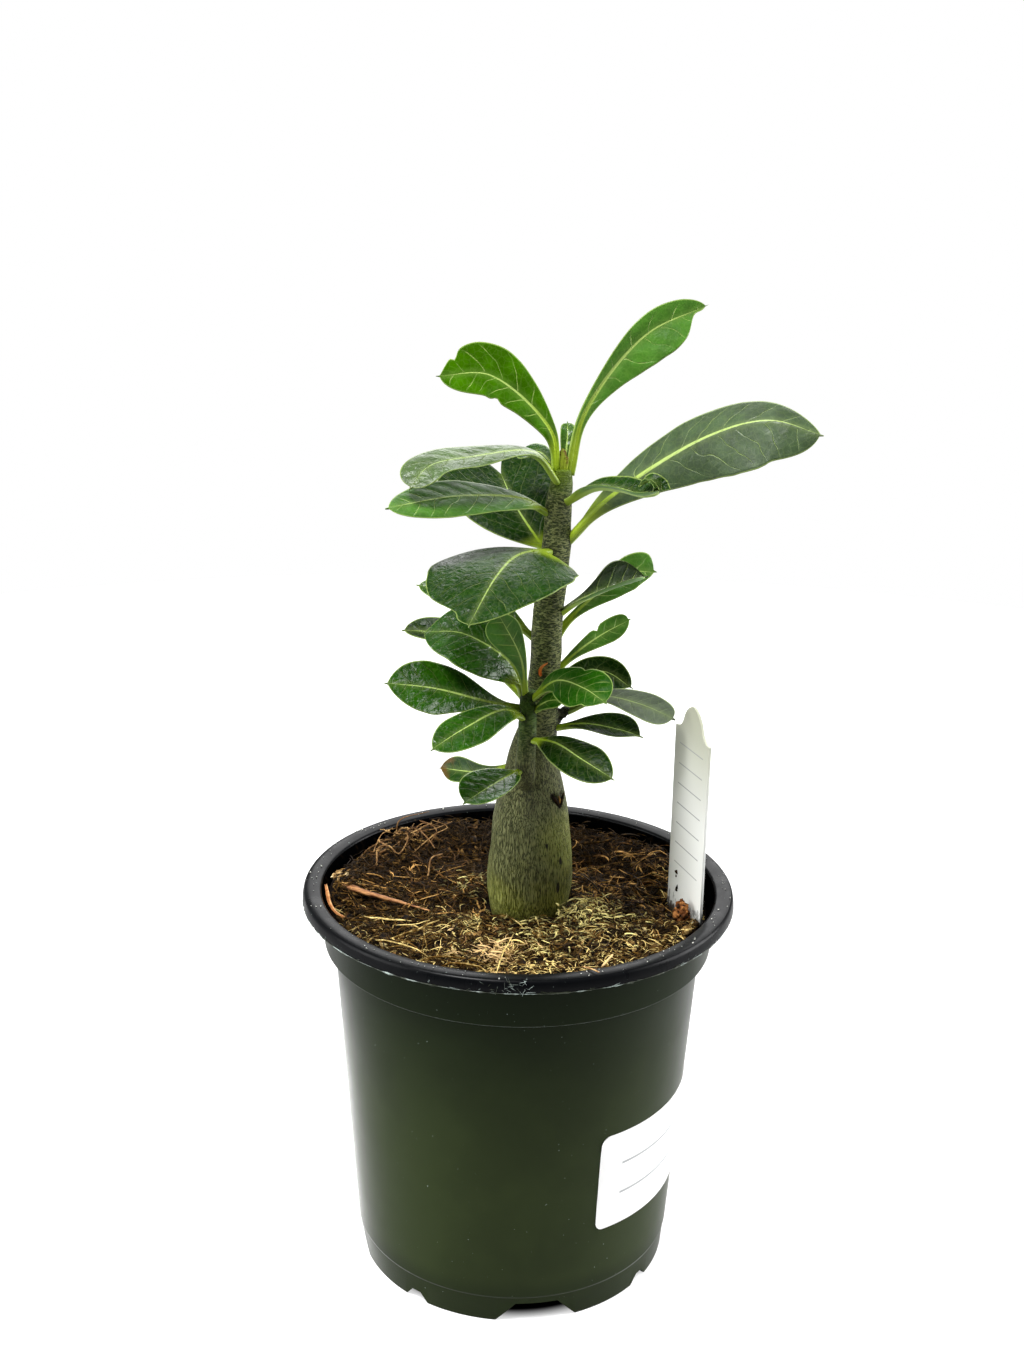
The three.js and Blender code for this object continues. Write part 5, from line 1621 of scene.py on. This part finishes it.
class DESERT_ROSE_OT_litter(bpy.types.Operator):
    """Splinter, bark chips, roots, pale crumbs and a peel that lie on the soil"""

    bl_idname = "desert_rose.litter"
    bl_label = "Litter on the soil"

    def execute(self, context):
        level = context.scene.desert_rose_soil.top / MM
        self.splinter(level)
        self.chip("chip_by_tag", "bark_chip_right", srgb(122, 74, 44), srgb(206, 150, 108), "wood", 31)
        self.chip("chip_pale", "bark_chip_left", srgb(112, 84, 48), srgb(206, 180, 128), "pale_chip", 33)
        self.tangle()
        self.knot()
        self.by_left_wall(level)
        return {"FINISHED"}

    def splinter(self, level):
        """A ridged splinter that rests on the highest soil under it."""
        way, _ = smooth_path(SPLINTER, 40)
        run = np.linspace(0, 1, 41)
        under = ground(way[:, :2], level)
        straight = np.polyval(np.polyfit(run, under, 1), run)
        way[:, 2] = straight + 0.6 * (under - straight).max() + 0.8 + 0.5 * run
        radius = np.interp(run, [0, 0.1, 0.5, 1], [0.5, 0.95, 0.6, 0.22])
        along = unit(np.gradient(way, axis=0))
        side = unit(np.cross(along, [0, 0, 1]))
        over = np.cross(side, along)
        loops = []
        for turn in np.arange(12) * 2 * math.pi / 12:
            ridge = 1 + 0.22 * math.sin(3 * turn) + 0.08 * math.sin(5 * turn + 1)
            wide, high = radius * math.cos(turn) * ridge * 1.15, radius * math.sin(turn) * ridge * 0.75
            loops.append(way + side * wide[:, None] + over * high[:, None])
        points, faces = capped_loft(np.array(loops).transpose(1, 0, 2))
        points = points + 0.14 * np.stack([grain(points, 1.6, seed) for seed in (1.0, 2.0, 3.0)], 1)
        material = wood_finish("splinter_wood", srgb(110, 60, 28), srgb(200, 144, 86))
        piece = make_piece("splinter", placed(points), [f[::-1] for f in faces], [material])
        seat(piece, "wood", "wood_splinter")

    def chip(self, name, node, dark, light, slot, seed):
        """A torn chip that fills its node's box."""
        middle, reach = box_of(node)
        points, faces = ball(3)
        blocky = np.sign(points) * np.abs(points) ** 0.75
        torn = grain(points, 0.6, seed, 3)
        points = middle + blocky * reach * (0.8 + 0.35 * torn)[:, None]
        piece = make_piece(name, placed(points), faces, [wood_finish(name + "_wood", dark, light)])
        seat(piece, slot, node)

    def tangle(self):
        """Each arch of root with six thinner ones that stray from it."""
        rng = np.random.default_rng(8)
        material = strand_finish("root_bark", srgb(44, 28, 14), srgb(98, 68, 38), srgb(168, 132, 84))
        for name, arch in ARCHES.items():
            centres, radii = [], []
            for i in range(7):
                path = np.array(arch) + rng.normal(0, 1, (4, 3)) * [3, 2.4, 1.5] * (i > 0)
                far = np.hypot(path[:, 0], path[:, 1])
                path[:, :2] *= (np.minimum(far, 49) / far)[:, None]
                centres.append(smooth_path(path, 17)[0])
                thick = 1 if i == 0 else rng.uniform(0.3, 0.75)
                radii.append(np.interp(np.arange(18), [0, 4, 17], [0.3, 0.4, 0.12]) * thick)
            tones = rng.uniform(0.2, 0.95, len(centres))
            strand_piece(name + "_tangle", centres, radii, 6, material, "root_fibre", name, tones=tones)

    def knot(self):
        """Short rootlets wound into a knot at the back left, and the loose ones near it."""
        rng = np.random.default_rng(14)
        count, steps = 34, 9
        starts = np.array([-31.5, 33.5, 104.8]) + rng.normal(0, 1, (count, 1, 3)) * [2.2, 1.8, 0.8]
        way = np.cumsum(rng.normal(0, 0.5, (count, steps, 3)), axis=1) * [1, 1, 0.7]
        centres = starts + way - way.mean(1, keepdims=True)
        radii = rng.uniform(0.1, 0.3, (count, 1)) * np.linspace(1, 0.5, steps)
        material = strand_finish("root_knot", srgb(44, 28, 14), srgb(104, 74, 42), srgb(180, 144, 92))
        tones = rng.uniform(0.1, 1, count)
        strand_piece("root_knot", centres, radii, 5, material, "root_fibre", tones=tones)
        for i, rootlet in enumerate(ROOTLETS):
            way, _ = smooth_path(rootlet, 24)
            radii = [np.linspace(0.26, 0.16, len(way))]
            strand_piece(f"rootlet_{i + 1}", [way], radii, 6, material, "root_fibre", tones=[0.6])

    def by_left_wall(self, level):
        """Pale crumbs and a curled reddish peel that lie against the left wall."""
        rng = np.random.default_rng(17)
        flat = np.array([-48.2, 4.2]) + rng.normal(0, 1, (34, 2)) * [1.2, 2.2]
        flat = flat[np.hypot(*flat.T) < 50]
        middles = np.column_stack([flat, ground(flat, level) + rng.uniform(0.5, 1.9, len(flat))])
        pale = strand_finish("pale_crumbs", srgb(120, 90, 50), srgb(186, 154, 102), srgb(226, 202, 152))
        crumb_piece("pale_crumbs", middles, rng.uniform(0.3, 0.85, len(flat)), rng, pale, "soil", rough=0.5)
        way, _ = smooth_path(PEEL, 16)
        radii = np.interp(np.arange(17), [0, 5, 16], [0.16, 0.42, 0.14]) * np.array([[1], [0.6]])
        peel = strand_finish("wall_peel", srgb(110, 60, 30), srgb(176, 116, 68), srgb(214, 168, 116))
        strand_piece("wall_peel", [way, way + [0.4, -0.2, 0.3]], radii, 6, peel, "wood", tones=[0.4, 0.8])


# Stage
class DESERT_ROSE_OT_stage(bpy.types.Operator):
    """Plain pale floor, soft studio light and the photograph's camera"""

    bl_idname = "desert_rose.stage"
    bl_label = "Stage and camera"

    def execute(self, context):
        stage = context.scene.desert_rose_stage
        self.floor(stage)
        self.sky(context.scene)
        middle = Vector((AXIS[0], 0, 0.12))
        self.lamp("key_light", (-0.3, -0.3, 1.0), middle, 0.3, stage.key)
        self.lamp("left_light", (-0.9, -0.2, 0.4), middle, 0.6, stage.left)
        self.lamp("right_light", (0.85, 0.1, 0.4), middle, 0.6, stage.right)
        self.lamp("back_light", (0.1, 0.9, 0.7), middle, 0.8, stage.back)
        self.camera(context.scene, stage)
        context.scene.view_settings.view_transform = "Standard"
        return {"FINISHED"}

    def floor(self, stage):
        """White where the camera sees it, with a painted black shadow under the pot, where it does not glow.
        """
        finish = Finish("floor", Roughness=0.9, Specular_IOR_Level=0.1)
        inputs = {0: finish.place, 1: tuple(AXIS)}
        from_pot = finish.add("ShaderNodeVectorMath", inputs, operation="DISTANCE")["Value"]
        clear_of_pot = finish.span(from_pot, 0.0375, 0.042)
        # Painted shadow: near black under the pot, where the camera sees the floor through the notches
        finish.set(Base_Color=finish.mix(clear_of_pot, (0.01, 0.01, 0.01), stage.floor_tint))
        seen = finish.add("ShaderNodeLightPath", {})["Is Camera Ray"]
        glow = finish.times(finish.times(seen, clear_of_pot), stage.floor_glow)
        finish.set(Emission_Color=(1, 1, 1), Emission_Strength=glow)
        edge = [tuple(heading(turn) * 0.8) for turn in range(0, 360, 5)]
        floor = make_piece("floor", edge, [list(range(len(edge)))], [finish.material])

    def sky(self, scene):
        """White to the camera; as light, bright above and at the sides and dim low in front."""
        world = bpy.data.worlds.new("studio")
        world.use_nodes = True
        scene.world = world
        sky = Nodes(world.node_tree)
        towards = sky.add("ShaderNodeTexCoord", {})["Generated"]
        _, back, up = sky.add("ShaderNodeSeparateXYZ", {0: towards})
        light = sky.times(sky.span(up, -0.1, 0.95, 0.22, 0.4), sky.span(back, -0.9, 0.35, 0.18, 1))
        dim = sky.add("ShaderNodeBackground", {"Color": (1, 1, 1), "Strength": light})[0]
        white = sky.add("ShaderNodeBackground", {"Color": (1, 1, 1), "Strength": 1})[0]
        seen = sky.add("ShaderNodeLightPath", {})["Is Camera Ray"]
        shown = sky.add("ShaderNodeMixShader", {0: seen, 1: dim, 2: white})[0]
        sky.put(sky.tree.nodes["World Output"].inputs["Surface"], shown)

    def lamp(self, name, place, target, width, power):
        light = bpy.data.lights.new(name, "AREA")
        light.energy = power
        light.size = width
        item = bpy.data.objects.new(name, light)
        item.location = place
        item.rotation_euler = (target - Vector(place)).to_track_quat("-Z", "Y").to_euler()
        bpy.context.scene.collection.objects.link(item)

    def camera(self, scene, stage):
        camera = bpy.data.cameras.new("photo_camera")
        camera.sensor_width = 36
        camera.lens = stage.lens_pixels / PHOTO_HEIGHT * camera.sensor_width
        camera.clip_start = 0.01
        forward = Vector((0, math.cos(stage.pitch), -math.sin(stage.pitch)))
        level_up = Vector((0, math.sin(stage.pitch), math.cos(stage.pitch)))
        across = Vector((1, 0, 0))
        right = across * math.cos(stage.roll) + level_up * math.sin(stage.roll)
        up = level_up * math.cos(stage.roll) - across * math.sin(stage.roll)
        target = Vector((AXIS[0] + stage.look_x, 0, stage.look_z))
        item = bpy.data.objects.new("photo_camera", camera)
        turn = Matrix((right, up, -forward)).transposed().to_4x4()
        item.matrix_world = Matrix.Translation(target - forward * stage.distance) @ turn
        scene.collection.objects.link(item)
        scene.camera = item


SETTINGS = {
    "desert_rose_pot": PotSettings,
    "desert_rose_soil": SoilSettings,
    "desert_rose_plant": PlantSettings,
    "desert_rose_tag": TagSettings,
    "desert_rose_stage": StageSettings,
}
OPERATORS = (
    DESERT_ROSE_OT_stage,
    DESERT_ROSE_OT_pot,
    DESERT_ROSE_OT_label,
    DESERT_ROSE_OT_stems,
    DESERT_ROSE_OT_leaves,
    DESERT_ROSE_OT_buds,
    DESERT_ROSE_OT_tag,
    DESERT_ROSE_OT_soil,
    DESERT_ROSE_OT_litter,
)


class DESERT_ROSE_PT_panel(bpy.types.Panel):
    """Lists the pieces and their settings"""

    bl_idname = "DESERT_ROSE_PT_panel"
    bl_label = "Desert rose"
    bl_space_type = "VIEW_3D"
    bl_region_type = "UI"
    bl_category = "Desert rose"

    def draw(self, context):
        for operator in OPERATORS:
            self.layout.operator(operator.bl_idname)
        for key, group in SETTINGS.items():
            settings = getattr(context.scene, key)
            box = self.layout.box()
            for name in group.__annotations__:
                box.prop(settings, name)


def register():
    for group in SETTINGS.values():
        bpy.utils.register_class(group)
    for key, group in SETTINGS.items():
        setattr(bpy.types.Scene, key, PointerProperty(type=group))
    for operator in OPERATORS:
        bpy.utils.register_class(operator)
    bpy.utils.register_class(DESERT_ROSE_PT_panel)


def unregister():
    bpy.utils.unregister_class(DESERT_ROSE_PT_panel)
    for operator in reversed(OPERATORS):
        bpy.utils.unregister_class(operator)
    for key, group in SETTINGS.items():
        delattr(bpy.types.Scene, key)
        bpy.utils.unregister_class(group)


def main():
    register()
    for operator in OPERATORS:
        area, name = operator.bl_idname.split(".")
        getattr(getattr(bpy.ops, area), name)()


if __name__ == "__main__":
    main()
